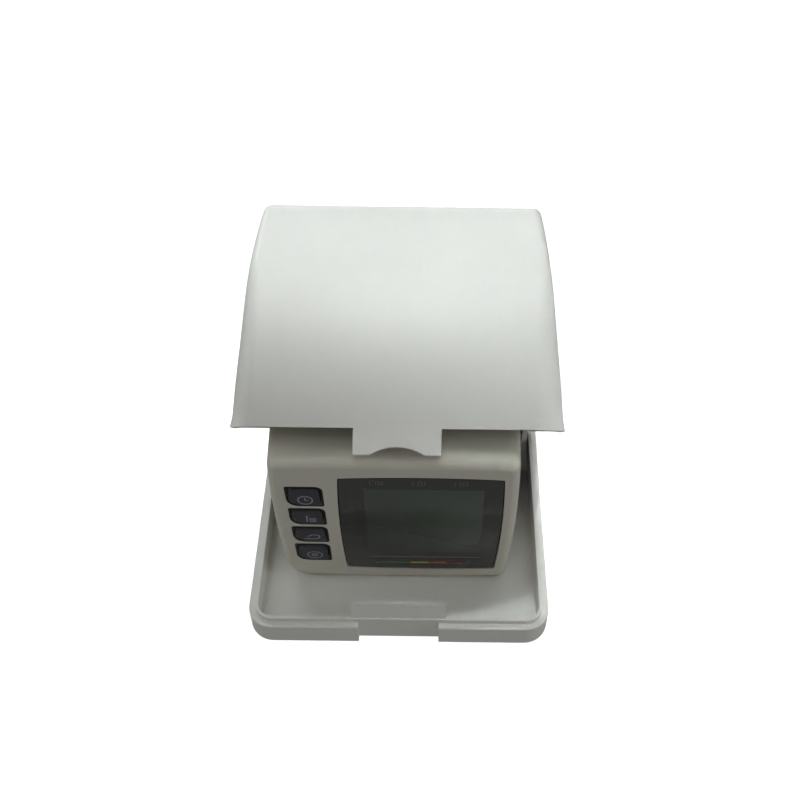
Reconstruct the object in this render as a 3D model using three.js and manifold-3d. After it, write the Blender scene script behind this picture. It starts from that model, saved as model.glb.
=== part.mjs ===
// A wrist blood pressure monitor standing in its open storage case.
// Millimetres, X to the right, Y to the back, Z up. The origin is under the middle of the tray.
import * as THREE from 'three';
import { mergeVertices } from 'three/addons/utils/BufferGeometryUtils.js';
import Module from 'manifold-3d';

const wasm = await Module();
wasm.setup();

// Driving sizes of the whole object, and the room that the case leaves round the monitor.
const rimHeight = 8.6;
const hingeHeight = 22.6;
const lidOpening = THREE.MathUtils.degToRad(52.9);
const monitorHeight = 69.4;
const monitorLean = THREE.MathUtils.degToRad(5.3);
const room = { front: 19.8, side: 11.05, rear: 12.9, head: 13.2 };

// Clearances between resting pieces and between moving ones, and the overrun of every cut.
const restGap = 0.3;
const moveGap = 0.4;
const overrun = 4;

// Tray of the case: the lid closes on the ledge outside a raised lip.
const tray = {
  floor: 1.6,
  frontRadius: 8,
  rearRadius: 4,
  edge: 0.5,
  lipWall: 1,
  lipRise: 1.8,
  tongueWidth: 30,
  tongueRise: 7.7,
  tongueLean: 1.9,
  tongueThick: 1.2,
  lugRadius: 4,
  lugWidth: 2.9,
  lugFoot: 12,
  lugNeck: 1.7,
};

// Lid of the case: its front is an arc about the hinge, so it swings clear of what it covers.
const lid = {
  wall: 1.3,
  draft: 0.075,
  setback: 0.55,
  barrel: 3.6,
  bore: 1.8,
  browRadius: 7,
  browRise: THREE.MathUtils.degToRad(10),
  crownRise: 3.25,
  browEnd: 50,
  backRadius: 14,
  rearRadius: 3,
  edge: 2.3,
  tabWidth: 24.8,
  tabLength: 7.6,
  fingerWidth: 15.5,
  fingerRise: 2.3,
};

const pin = { radius: 1.5 };

// Monitor housing: a front cover and a rear cover that meet at the parting line.
const house = {
  offsetX: -1.08,
  wall: 1.8,
  backRoom: 2.2,
  bow: 0.8,
  parting: 15,
  frontEdge: 2.8,
  rearEdge: 2.4,
  flare: 1,
  hollow: 3.5,
  topRadius: 4,
  rightRadius: 5,
  sweptRadius: 9,
};

// Screws that join the covers, head to the back, at shares of the half housing.
const screw = {
  radius: 1,
  head: 1.9,
  headHeight: 1.4,
  length: 15,
  sink: 2.6,
  boss: 1.2,
  slot: 0.5,
  slotDeep: 0.6,
};
const screwShares = [[-0.84, 0.85], [0.84, 0.85], [-0.47, -0.12], [-0.82, -0.82]];

// Display window, screen and the frame that carries the screen.
const view = {
  width: 49.6,
  height: 55,
  margin: 4.5,
  bow: 0.8,
  corner: 0.8,
  glass: 1.2,
  ledge: 2,
  rim: 1.6,
  seat: 1.1,
};
const screen = {
  width: 39,
  height: 43,
  shiftX: 1,
  shiftZ: 1.6,
  glass: 2,
  frame: 1.8,
  lip: 1.4,
  back: 2,
  seal: 1.6,
};

// Four keys in a column, from the top, and the rubber pad behind them.
const keyHeights = [9.6, 8.4, 8.4, 9.6];
const key = {
  width: 10,
  margin: 5.5,
  gap: 4.8,
  bar: 2.45,
  fit: 0.45,
  proud: 0.6,
  crown: 0.4,
  flange: 0.8,
  travel: 0.5,
  sharpRadius: 0.8,
  roundRadius: 2.6,
  sweptRadius: 4.4,
};
const pad = { margin: 1.3, sheet: 0.9, dome: 2.2, tip: 1.4 };

const board = { thick: 1.2, edgeGap: 1.2 };

// Two batteries lie behind the board, in a box that opens on the right.
const battery = { radius: 5.25, length: 43.3, cap: 2.7, capLength: 1.2, pitchGap: 0.5 };
const box = { wall: 0.9, endRoom: 2.4 };
const contact = { sheet: 0.4, width: 8, wire: 0.2, coil: 2.9, tip: 1.7, turns: 3 };
const door = { plate: 1.5, plug: 1.4 };

// Air system behind the board, above the batteries; each place across is measured from a side.
const pump = {
  fromRight: 30.7,
  z: 7,
  width: 15,
  height: 14,
  depth: 9.6,
  port: 1.6,
  portLength: 2.4,
  bore: 0.7,
};
const motor = { radius: 4.8, length: 16, nose: 2.2, noseLength: 0.8, shaft: 0.9, shaftRun: 2.6 };
const cam = { radius: 3, thick: 1.8, offset: 1.1, sideRoom: 0.8 };
const valve = { radius: 4, length: 9, pipe: 4, plunger: 1, plungerHead: 1.9, headLength: 1, travel: 1 };
const sensor = { fromLeft: 10.2, z: 21, size: 7, height: 3.4, port: 1.5, portLength: 1.6 };
const buzzer = { fromRight: 13.2, z: 22, radius: 5, height: 3, hole: 0.9 };
const chip = { fromLeft: 24.2, z: 23, size: 9, height: 1.4 };
const hose = { radius: 1.5, bore: 0.7, bend: 6, steps: 9 };
const nipple = { z: 24, radius: 2.2, bore: 1, flange: 3.4, flangeThick: 1 };

// Cuff: layers of a closed loop behind the housing, outer cloth first.
const cuff = {
  inset: 0.2,
  offsetX: 1,
  footDrop: 2.9,
  topRise: 0.8,
  depth: 30,
  frontCorner: 9,
  rearCorner: 13,
  rearSwing: 80,
  cloth: 0.9,
  stiffener: 0.8,
  bladder: 1.8,
  lining: 0.8,
  binding: 1.2,
  bladderInset: 4,
  bladderGap: 20,
  flapWidth: 52,
  flapHeight: 40,
  flapThick: 1.1,
  flapRadius: 6,
  hookWidth: 42,
  hookHeight: 30,
  hookThick: 0.7,
};

// The housing is as wide as its keys and window need.
const monitorWidth = key.margin + key.width + key.gap + view.width + view.margin;
const halfWidth = monitorWidth / 2;
const halfHeight = monitorHeight / 2;
const viewX = halfWidth - view.margin - view.width / 2;
const keyX = key.margin + key.width / 2 - halfWidth;
const screenX = viewX + screen.shiftX;
const pumpX = halfWidth - pump.fromRight;

// Depths of the layers behind the face, which the housing holds.
const seatBack = house.wall + view.seat;
const screenFront = seatBack + restGap;
const screenBack = screenFront + screen.glass;
const frameBack = screenBack + restGap + screen.back;
const boardFront = frameBack + restGap;
const boardBack = boardFront + board.thick;
const boxFront = boardBack + restGap;
const cellFront = boxFront + box.wall;
const cellMiddle = cellFront + restGap + battery.radius;
const cellBack = cellMiddle + battery.radius + restGap;
const keyBack = house.wall + restGap + key.flange;
const airFront = boardBack + restGap;
const monitorDepth = cellBack + house.backRoom + house.hollow;

// The cuff is as wide as the housing, and the case holds both.
const cuffWidth = monitorWidth - 2 * cuff.inset;
const cuffTop = halfHeight + cuff.topRise;
const cuffBottom = -halfHeight - cuff.footDrop;
const caseWidth = monitorWidth + 2 * room.side;
const caseDepth = room.front + monitorDepth - house.hollow + restGap + cuff.depth + room.rear;
const lidHeight = monitorHeight + room.head;

const white = { color: 0xe4e6e9, roughness: 0.34, metalness: 0 };
const cream = { color: 0xcfcab9, roughness: 0.42, metalness: 0 };
const charcoal = { color: 0x2e2f38, roughness: 0.55, metalness: 0 };
const gloss = { color: 0x141416, roughness: 0.08, metalness: 0 };
const liquidGrey = { color: 0x6f7d70, roughness: 0.15, metalness: 0 };
const steel = { color: 0xb9bcc0, roughness: 0.3, metalness: 1 };
const brass = { color: 0xb08d4a, roughness: 0.35, metalness: 1 };
const laminate = { color: 0x1f5a38, roughness: 0.5, metalness: 0 };
const rubber = { color: 0x55575c, roughness: 0.8, metalness: 0 };
const darkCloth = { color: 0x33383f, roughness: 0.95, metalness: 0 };
const greyCloth = { color: 0x6d747d, roughness: 0.95, metalness: 0 };

// A closed three.js geometry as a solid that can be joined and cut.
function solid(geometry) {
  geometry.deleteAttribute('normal');
  geometry.deleteAttribute('uv');
  const merged = mergeVertices(geometry);
  return new wasm.Manifold(new wasm.Mesh({
    numProp: 3,
    vertProperties: new Float32Array(merged.attributes.position.array),
    triVerts: new Uint32Array(merged.index.array),
  }));
}

function join(first, ...others) {
  return others.reduce((whole, next) => whole.add(next), first);
}

function cut(body, ...tools) {
  return tools.reduce((rest, tool) => rest.subtract(tool), body);
}

function piece(name, finish, body) {
  const mesh = body.getMesh();
  const geometry = new THREE.BufferGeometry();
  geometry.setAttribute('position', new THREE.BufferAttribute(new Float32Array(mesh.vertProperties), 3));
  geometry.setIndex(new THREE.BufferAttribute(new Uint32Array(mesh.triVerts), 1));
  geometry.computeVertexNormals();
  const made = new THREE.Mesh(geometry, new THREE.MeshStandardMaterial(finish));
  made.name = name;
  return made;
}

// A box between two limits on each axis, given in either order.
function block([x0, x1], [y0, y1], [z0, z1]) {
  const geometry = new THREE.BoxGeometry(Math.abs(x1 - x0), Math.abs(y1 - y0), Math.abs(z1 - z0));
  return solid(geometry.translate((x0 + x1) / 2, (y0 + y1) / 2, (z0 + z1) / 2));
}

// A round bar along an axis between two limits, narrowing to its end radius if one is given.
function rod(axis, radius, [start, end], [x, y, z], sides = 24, endRadius = radius) {
  const [low, high] = start < end ? [radius, endRadius] : [endRadius, radius];
  const geometry = new THREE.CylinderGeometry(high, low, Math.abs(end - start), sides);
  geometry.translate(0, (start + end) / 2, 0);
  if (axis === 'x') geometry.rotateZ(-Math.PI / 2);
  if (axis === 'z') geometry.rotateX(Math.PI / 2);
  return solid(geometry.translate(x, y, z));
}

// Where an outline's own two axes and its length lie in the model.
const layouts = {
  x: ([along, across, length]) => [length, along, across],
  y: ([along, across, length]) => [along, length, across],
  z: ([along, across, length]) => [along, across, length],
};

// An outline extruded along an axis between two limits, its vertices then moved by an optional rule.
function extruded(shape, axis, [start, end], { bevel = 0, curveSegments = 6, rule = null } = {}) {
  const geometry = new THREE.ExtrudeGeometry(shape, {
    depth: end - start - 2 * bevel,
    bevelEnabled: bevel > 0,
    bevelThickness: bevel,
    bevelSize: bevel,
    bevelOffset: -bevel,
    bevelSegments: 3,
    curveSegments,
  });
  const place = geometry.attributes.position;
  const corners = [];
  for (let i = 0; i < place.count; i += 1) {
    const drawn = [place.getX(i), place.getY(i), place.getZ(i) + start + bevel];
    const laid = layouts[axis](drawn);
    corners.push(rule ? rule(laid) : laid);
  }
  // Laid along Y the triangles face in, so their corners are taken in the other order.
  const order = axis === 'y' ? [0, 2, 1] : [0, 1, 2];
  for (let i = 0; i < corners.length; i += order.length) {
    order.forEach((from, to) => place.setXYZ(i + to, ...corners[i + from]));
  }
  return solid(geometry);
}

// A four-sided outline with a radius at each corner, from the top left clockwise, and bowed sides.
function rounded(across, up, radii, middle = [0, 0], bow = 0) {
  const centre = new THREE.Vector2(...middle);
  const signs = [[-1, 1], [1, 1], [1, -1], [-1, -1]];
  const corners = signs.map(
    ([x, z]) => new THREE.Vector2(x * (across - bow), z * (up - bow)).add(centre));
  const outline = new THREE.Shape();
  corners.forEach((corner, k) => {
    const before = corners[(k + 3) % 4];
    const after = corners[(k + 1) % 4];
    const enter = corner.clone().add(before.clone().sub(corner).setLength(radii[k]));
    const leave = corner.clone().add(after.clone().sub(corner).setLength(radii[k]));
    const middleOfSide = before.clone().add(corner).multiplyScalar(0.5);
    const pull = middleOfSide.clone().sub(centre).setLength(2 * bow).add(middleOfSide);
    if (k === 0) outline.moveTo(enter.x, enter.y);
    else if (bow > 0) outline.quadraticCurveTo(pull.x, pull.y, enter.x, enter.y);
    else outline.lineTo(enter.x, enter.y);
    outline.quadraticCurveTo(corner.x, corner.y, leave.x, leave.y);
    if (k === 3 && bow > 0) {
      const first = corners[0];
      const lastMiddle = corner.clone().add(first).multiplyScalar(0.5);
      const lastPull = lastMiddle.clone().sub(centre).setLength(2 * bow).add(lastMiddle);
      outline.quadraticCurveTo(lastPull.x, lastPull.y, first.x, first.y - radii[0]);
    }
  });
  return outline;
}

// A plan view between side, front and back, with round corners at both ends.
function plan(side, front, back, frontRadius, rearRadius) {
  const outline = new THREE.Shape();
  outline.absarc(side - frontRadius, front + frontRadius, frontRadius, -Math.PI / 2, 0);
  outline.absarc(side - rearRadius, back - rearRadius, rearRadius, 0, Math.PI / 2);
  outline.absarc(-side + rearRadius, back - rearRadius, rearRadius, Math.PI / 2, Math.PI);
  outline.absarc(-side + frontRadius, front + frontRadius, frontRadius, Math.PI, 1.5 * Math.PI);
  return outline;
}

// Lines of the case that tray and lid share.
const caseSide = caseWidth / 2;
const caseFront = -caseDepth / 2;
const caseBack = caseDepth / 2;
const lidBack = caseBack - lid.setback;
const lidSide = caseSide - lid.setback;
const hingeY = lidBack - lid.barrel;
const hingeDrop = hingeHeight - rimHeight;
const frontSwing = Math.hypot(hingeY - caseFront - lid.setback, hingeDrop);
const browReach = frontSwing - lid.browRadius;
const riseStart = lidHeight - lid.crownRise;
const browHigh = riseStart - lid.browRadius * Math.cos(lid.browRise) - hingeHeight;
const browAngle = Math.asin(browHigh / browReach);
const lipInset = lid.setback + lid.wall + restGap;
const lipSide = caseSide - lipInset;
const sideAtHinge = lidSide - lid.draft * hingeDrop;
const lugOuter = sideAtHinge - lid.wall - 2 * moveGap;
const lugInner = lugOuter - tray.lugWidth;
const rearWallTop = hingeHeight - lid.barrel - moveGap;
const hingeLine = [0, hingeY, hingeHeight];
const through = [-caseWidth, caseWidth];

// The lid's sides lean in above the rim.
function leanIn([x, y, z]) {
  return [x * (1 - lid.draft * (z - rimHeight) / lidSide), y, z];
}

function makeTray() {
  const inner = lipInset + tray.lipWall;
  const top = rimHeight + tray.lipRise;
  const shelf = extruded(
    plan(caseSide, caseFront, caseBack, tray.frontRadius, tray.rearRadius), 'z', [0, rimHeight],
    { bevel: tray.edge });
  const lip = extruded(
    plan(lipSide, caseFront + lipInset, caseBack - lipInset, tray.frontRadius - lipInset,
      tray.rearRadius - lipInset), 'z', [tray.floor, top]);
  const hollow = extruded(
    plan(caseSide - inner, caseFront + inner, caseBack - inner, tray.frontRadius - inner,
      tray.rearRadius - lipInset), 'z', [tray.floor, top + overrun]);
  let body = join(shelf, lip);
  for (const side of [-1, 1]) {
    // The lid's rear corners swing down here, so the lip stops short of them.
    const swept = rod('x', hingeDrop, [side * lugOuter, side * caseWidth], hingeLine, 40);
    body = cut(body, swept);
  }
  body = cut(body, hollow);
  body = join(body, block([-lugOuter, lugOuter], [caseBack - inner, caseBack], [tray.floor, rearWallTop]));
  for (const side of [-1, 1]) {
    const width = [side * lugInner, side * lugOuter].sort((a, b) => a - b);
    const cheek = new THREE.Shape();
    cheek.moveTo(hingeY - tray.lugFoot, tray.floor / 2);
    cheek.lineTo(hingeY - tray.lugFoot, rimHeight - tray.lipRise);
    cheek.lineTo(hingeY - tray.lugRadius, hingeHeight);
    cheek.lineTo(hingeY + tray.lugNeck, hingeHeight);
    cheek.lineTo(hingeY + tray.lugNeck, rearWallTop - tray.lipWall);
    cheek.lineTo(caseBack - lipInset, rearWallTop - tray.lipWall);
    cheek.lineTo(caseBack - lipInset, tray.floor / 2);
    const filler = block(
      [side * lugInner, side * (lipSide - tray.lipWall / 2)], [hingeY - tray.lugFoot, caseBack - lipInset],
      [tray.floor / 2, rimHeight - tray.lipRise]);
    body = cut(
      join(body, extruded(cheek, 'x', width), filler, rod('x', tray.lugRadius, width, hingeLine, 32)),
      rod('x', pin.radius + restGap, [side * (lugInner - overrun), side * caseWidth], hingeLine, 16));
  }
  const tongueFront = caseFront + lipInset;
  const tongue = new THREE.Shape();
  tongue.moveTo(tongueFront, rimHeight);
  tongue.lineTo(tongueFront + tray.tongueLean, rimHeight + tray.tongueRise);
  tongue.lineTo(tongueFront + tray.tongueLean + tray.tongueThick, rimHeight + tray.tongueRise);
  tongue.lineTo(tongueFront + tray.tongueThick, rimHeight);
  const recess = block(
    [-lid.tabWidth / 2 - moveGap, lid.tabWidth / 2 + moveGap], [caseFront - overrun, tongueFront],
    [-overrun, top + overrun]);
  body = join(body, extruded(tongue, 'x', [-tray.tongueWidth / 2, tray.tongueWidth / 2]));
  return piece('case_tray', white, cut(body, recess));
}

// The lid's side view when closed, drawn in by an inset.
function hoodOutline(inset) {
  const swing = frontSwing - inset;
  const top = lidHeight - inset;
  const start = Math.PI + Math.asin(hingeHeight / swing);
  const browY = hingeY - browReach * Math.cos(browAngle);
  const browZ = hingeHeight + browHigh;
  const browRadius = lid.browRadius - inset;
  const riseY = browY - browRadius * Math.sin(lid.browRise);
  const riseZ = browZ + browRadius * Math.cos(lid.browRise);
  const crownY = riseY + (top - riseZ) / Math.tan(lid.browRise);
  const outline = new THREE.Shape();
  outline.absarc(hingeY, hingeHeight, swing, start, Math.PI - browAngle, true);
  outline.absarc(browY, browZ, browRadius, Math.PI - browAngle, Math.PI / 2 + lid.browRise, true);
  outline.quadraticCurveTo(crownY, top, Math.max(caseFront + lid.browEnd, crownY + browRadius), top);
  outline.absarc(
    lidBack - lid.backRadius, lidHeight - lid.backRadius, lid.backRadius - inset, Math.PI / 2, 0, true);
  outline.lineTo(lidBack - inset, 0);
  return outline;
}

function hoodSolid(inset) {
  const side = lidSide - inset;
  const rounding = { bevel: lid.edge - inset / 2, rule: leanIn };
  const shell = extruded(hoodOutline(inset), 'x', [-side, side], rounding);
  const footprint = plan(
    side, hingeY - frontSwing + inset, lidBack - inset, tray.frontRadius - inset, lid.rearRadius - inset);
  return shell.intersect(extruded(footprint, 'z', [-overrun, lidHeight + overrun], { rule: leanIn }));
}

function makeLid() {
  const barrelEnd = lugInner - restGap;
  const notch = lugOuter + moveGap;
  let body = cut(hoodSolid(0), hoodSolid(lid.wall));
  body = cut(
    body,
    block(through, [-caseDepth, caseDepth], [-overrun, rimHeight + restGap]),
    block([-notch, notch], [hingeY, caseDepth], [0, hingeHeight]),
    rod('x', tray.lugRadius + moveGap, [-notch, notch], hingeLine, 32));
  body = join(
    body,
    block(
      [-barrelEnd, barrelEnd], [lidBack - lid.wall, lidBack], [hingeHeight, hingeHeight + 2 * lid.barrel]),
    rod('x', lid.barrel, [-barrelEnd, barrelEnd], hingeLine, 32));
  // The lower rear corners keep within the swing that clears the ledge.
  const corner = block(through, [hingeY, caseDepth], [0, hingeHeight]);
  body = cut(
    body,
    cut(corner, rod('x', hingeDrop - restGap, through, hingeLine, 48)),
    rod('x', lid.bore, through, hingeLine, 16));
  const front = hingeY - Math.sqrt(frontSwing ** 2 - (hingeDrop - restGap) ** 2);
  const foot = rimHeight + restGap - lid.tabLength;
  const fingerRadius = ((lid.fingerWidth / 2) ** 2 + lid.fingerRise ** 2) / (2 * lid.fingerRise);
  const finger = rod(
    'y', fingerRadius, [front - overrun, front + overrun], [0, 0, foot + lid.fingerRise - fingerRadius], 72);
  const tab = block(
    [-lid.tabWidth / 2, lid.tabWidth / 2], [front, front + lid.wall], [foot, rimHeight + lid.wall]);
  const made = piece('case_lid', white, join(body, cut(tab, finger)));
  made.geometry.translate(0, -hingeY, -hingeHeight);
  return made;
}

function makePins() {
  return [['hinge_pin_left', -1], ['hinge_pin_right', 1]].map(([name, side]) => {
    const span = [side * (lugInner + restGap), side * (sideAtHinge - restGap)];
    return piece(name, steel, rod('x', pin.radius, span, hingeLine, 16));
  });
}

// Places of the housing, in its own frame: the face is at depth zero and its middle at the origin.
const wristRadius = (halfHeight ** 2 + house.hollow ** 2) / (2 * house.hollow);
const wristCentre = monitorDepth - house.hollow + wristRadius;
const innerBottom = -halfHeight + house.wall + house.bow;
const lowCell = innerBottom + 2 * restGap + battery.radius;
const highCell = lowCell + 2 * battery.radius + battery.pitchGap;
const boxTop = highCell + battery.radius + restGap;
const boxRight = halfWidth - house.bow - door.plate - door.plug;
const cellRight = boxRight - contact.sheet - box.endRoom;
const cellLeft = cellRight - battery.length - battery.capLength;
const boxLeft = cellLeft - box.endRoom - contact.sheet - restGap;
const doorLow = innerBottom + 2 * restGap;
const doorHigh = boxTop - restGap;
const screwPlaces = screwShares.map(([x, z]) => [x * halfWidth, 0, z * halfHeight]);
const headFront = monitorDepth - house.hollow - screw.sink - screw.headHeight;
const bossRadius = screw.radius + restGap + screw.boss;
const keyColumn = keyHeights.reduce((sum, height) => sum + height + key.bar, -key.bar);
const keyMiddles = keyHeights.map((height, row) => keyHeights.slice(0, row).reduce(
  (place, above) => place - above - key.bar, keyColumn / 2 - height / 2));

// Depth of the housing's hollow back at a height, moved in by an inset.
function wristDepth(z, inset = 0) {
  return wristCentre - Math.sqrt((wristRadius + inset) ** 2 - z ** 2);
}

// The housing widens a little towards the wrist.
function flareOut([x, y, z]) {
  return [x * (1 + house.flare * y / (monitorDepth * halfWidth)), y, z];
}

function housing(inset, depths, bevel = 0) {
  const radii = [house.topRadius, house.topRadius, house.rightRadius, house.sweptRadius];
  const inner = radii.map((radius) => radius - inset);
  const outline = rounded(halfWidth - inset, halfHeight - inset, inner, [0, 0], house.bow);
  return extruded(outline, 'y', depths, { bevel, rule: flareOut });
}

// Everything behind the hollow back, which is moved in by an inset.
function beyondWrist(inset) {
  const radius = wristRadius + inset;
  const sweep = Math.asin((halfHeight + overrun) / radius);
  const far = monitorDepth + overrun;
  const outline = new THREE.Shape();
  outline.absarc(wristCentre, 0, radius, Math.PI - sweep, Math.PI + sweep);
  outline.lineTo(far, -halfHeight - overrun);
  outline.lineTo(far, halfHeight + overrun);
  return extruded(outline, 'x', [-monitorWidth, monitorWidth], { curveSegments: 8 });
}

function viewOutline(inset) {
  const radii = [view.corner, view.corner, view.corner, view.corner];
  return rounded(view.width / 2 - inset, view.height / 2 - inset, radii, [viewX, 0], view.bow);
}

function keyOutline(row, inset) {
  const radii = [key.sharpRadius, key.roundRadius, key.sharpRadius, key.sweptRadius];
  return rounded(key.width / 2 - inset, keyHeights[row] / 2 - inset, radii, [keyX, keyMiddles[row]]);
}

function doorway() {
  const depths = [cellFront - moveGap, cellBack + moveGap];
  return block([boxRight, monitorWidth], depths, [doorLow - moveGap, doorHigh + moveGap]);
}

function makeFrontCover() {
  const open = house.parting + 2 * overrun;
  let body = cut(
    housing(0, [0, house.parting + overrun], house.frontEdge), housing(house.wall, [house.wall, open]));
  body = join(body, extruded(viewOutline(-view.rim), 'y', [house.wall / 2, seatBack]));
  for (const place of screwPlaces) {
    body = join(body, rod('y', bossRadius, [house.wall / 2, house.parting], place));
  }
  body = cut(
    body,
    block([-monitorWidth, monitorWidth], [house.parting, open], [-monitorHeight, monitorHeight]),
    extruded(viewOutline(-restGap), 'y', [-overrun, view.glass + restGap]),
    extruded(viewOutline(view.ledge), 'y', [-overrun, seatBack + restGap]),
    doorway());
  keyHeights.forEach((_, row) => {
    const depths = [-overrun, house.wall + overrun];
    body = cut(body, extruded(keyOutline(row, 0), 'y', depths, { curveSegments: 4 }));
  });
  for (const place of screwPlaces) {
    const tip = headFront - screw.length - restGap;
    body = cut(body, rod('y', screw.radius + restGap, [tip, open], place, 12));
  }
  return piece('front_cover', cream, body);
}

function makeRearCover() {
  const start = house.parting + restGap;
  const outer = cut(housing(0, [start - overrun, monitorDepth], house.rearEdge), beyondWrist(0));
  const inner = cut(housing(house.wall, [start - overrun, monitorDepth]), beyondWrist(house.wall));
  const within = cut(housing(house.wall / 2, [start, monitorDepth]), beyondWrist(house.wall / 2));
  const front = block(
    [-monitorWidth, monitorWidth], [start - overrun - restGap, start], [-monitorHeight, monitorHeight]);
  const sleeveTop = boxTop + box.wall;
  const sleeve = block([boxLeft - box.wall, boxRight], [boxFront, start], [-halfHeight, sleeveTop])
    .intersect(housing(house.wall + restGap, [boxFront - overrun, start]));
  const well = block([boxLeft - box.wall, monitorWidth], [start, monitorDepth], [-halfHeight, sleeveTop]);
  const cellEnds = [boxLeft, boxRight + door.plug / 2];
  const cells = join(
    block(cellEnds, [cellFront, start], [-halfHeight, boxTop]),
    block(cellEnds, [cellFront, cellBack], [innerBottom, boxTop]));
  let body = join(cut(outer, inner, front), well.intersect(within));
  for (const place of screwPlaces) {
    const boss = rod('y', screw.head + restGap + screw.boss, [start, monitorDepth], place);
    body = join(body, boss.intersect(within));
  }
  body = cut(join(body, sleeve), cells, doorway());
  for (const place of screwPlaces) {
    body = cut(
      body,
      rod('y', screw.radius + restGap, [start - overrun, monitorDepth], place, 12),
      rod('y', screw.head + restGap, [headFront - restGap, monitorDepth + overrun], place));
  }
  const airHole = rod(
    'y', nipple.radius + restGap, [start, monitorDepth + overrun], [pumpX, 0, nipple.z], 16);
  return piece('rear_cover', cream, cut(body, airHole));
}

function makeScrews() {
  return screwPlaces.map((place, index) => {
    const [x, , z] = place;
    const top = headFront + screw.headHeight;
    const deep = [top - screw.slotDeep, top + overrun];
    const half = screw.slot / 2;
    return piece(`housing_screw_${index + 1}`, steel, cut(
      join(rod('y', screw.radius, [headFront - screw.length, headFront], place, 12),
        rod('y', screw.head, [headFront, top], place)),
      block([x - half, x + half], deep, [z - screw.head, z + screw.head]),
      block([x - screw.head, x + screw.head], deep, [z - half, z + half])));
  });
}

function makeWindow() {
  return piece('display_window', gloss, extruded(viewOutline(0), 'y', [0, view.glass]));
}

function aroundScreen(grow, depths) {
  const across = screen.width / 2 + grow;
  const up = screen.height / 2 + grow;
  return block([screenX - across, screenX + across], depths, [screen.shiftZ - up, screen.shiftZ + up]);
}

function makeScreen() {
  const frame = cut(
    aroundScreen(screen.frame + restGap, [screenFront, frameBack]),
    aroundScreen(restGap, [screenFront - overrun, screenBack + restGap]),
    aroundScreen(-screen.lip, [screenFront, frameBack + overrun]));
  const made = [
    piece('lcd_glass', liquidGrey, aroundScreen(0, [screenFront, screenBack])),
    piece('lcd_frame', rubber, frame),
  ];
  const across = screen.width / 2 - screen.lip - restGap;
  const up = screen.height / 2 - screen.lip - restGap;
  for (const [name, side] of [['seal_strip_upper', 1], ['seal_strip_lower', -1]]) {
    const edges = [screen.shiftZ + side * up, screen.shiftZ + side * (up - screen.seal)];
    made.push(piece(name, rubber, block(
      [screenX - across, screenX + across], [screenBack + restGap, frameBack], edges)));
  }
  return made;
}

function makeKeys() {
  const front = house.wall + restGap;
  const cropped = block([-monitorWidth, 0], [-overrun, keyBack], [-monitorHeight, monitorHeight]);
  return keyHeights.map((_, row) => {
    const cap = extruded(keyOutline(row, key.fit), 'y', [-key.proud, keyBack + 2 * key.crown],
      { bevel: key.crown, curveSegments: 4 });
    const flange = extruded(keyOutline(row, -key.flange), 'y', [front, keyBack], { curveSegments: 4 });
    return piece(`key_${row + 1}`, charcoal, join(cap.intersect(cropped), flange));
  });
}

// A rubber sheet on the board, with one dome behind each key.
function makePad() {
  const across = key.width / 2 + pad.margin;
  const up = keyColumn / 2 + pad.margin;
  const sheetFront = frameBack - pad.sheet;
  let body = block([keyX - across, keyX + across], [sheetFront, frameBack], [-up, up]);
  for (const z of keyMiddles) {
    const depths = [sheetFront + pad.sheet / 2, keyBack + key.travel + restGap];
    body = join(body, rod('y', pad.dome, depths, [keyX, 0, z], 16, pad.tip));
  }
  return piece('key_pad', rubber, body);
}

function makeBoard() {
  let body = housing(house.wall + board.edgeGap, [boardFront, boardBack]);
  for (const place of screwPlaces) {
    body = cut(body, rod('y', bossRadius + restGap, [boardFront - overrun, boardBack + overrun], place));
  }
  return piece('circuit_board', laminate, body);
}

// The lower battery has its cap on the left and the upper one on the right.
function makeBatteries() {
  return [['battery_lower', lowCell, 1], ['battery_upper', highCell, -1]].map(([name, z, turn]) => {
    const end = turn > 0 ? cellLeft : cellRight;
    const neck = end + turn * battery.capLength;
    const far = neck + turn * battery.length;
    return piece(name, steel, join(
      rod('x', battery.radius, [neck, far], [0, cellMiddle, z], 28),
      rod('x', battery.cap, [end, neck + turn * battery.capLength], [0, cellMiddle, z], 16)));
  });
}

// A tapering coil of wire between two places along X.
function coil(z, [start, end]) {
  class Winding extends THREE.Curve {
    getPoint(t, target = new THREE.Vector3()) {
      const angle = t * contact.turns * 2 * Math.PI;
      const radius = THREE.MathUtils.lerp(contact.coil, contact.tip, t);
      const y = cellMiddle + radius * Math.cos(angle);
      return target.set(THREE.MathUtils.lerp(start, end, t), y, z + radius * Math.sin(angle));
    }
  }
  const section = new THREE.Shape().absarc(0, 0, contact.wire, 0, 2 * Math.PI);
  return solid(new THREE.ExtrudeGeometry(section, {
    extrudePath: new Winding(), steps: contact.turns * 8, curveSegments: 3, bevelEnabled: false }));
}

function contactSheet(x, zs) {
  const half = contact.width / 2;
  return block(x, [cellMiddle - half, cellMiddle + half], [Math.min(...zs) - half, Math.max(...zs) + half]);
}

function contactButton(z, span) {
  return rod('x', battery.cap, span, [0, cellMiddle, z], 16);
}

function makeContacts() {
  const left = [boxLeft + restGap, boxLeft + restGap + contact.sheet];
  const right = [boxRight, boxRight - contact.sheet];
  const middle = (span) => (span[0] + span[1]) / 2;
  return [
    piece('contact_plus', brass, join(
      contactSheet(left, [lowCell]), contactButton(lowCell, [middle(left), cellLeft - restGap]))),
    piece('contact_minus', brass, join(
      contactSheet(left, [highCell]), coil(highCell, [middle(left), cellLeft - restGap - contact.wire]))),
    piece('battery_link', brass, join(
      contactSheet(right, [lowCell, highCell]),
      contactButton(highCell, [middle(right), cellRight + restGap]),
      coil(lowCell, [middle(right), cellRight + restGap + contact.wire]))),
  ];
}

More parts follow.
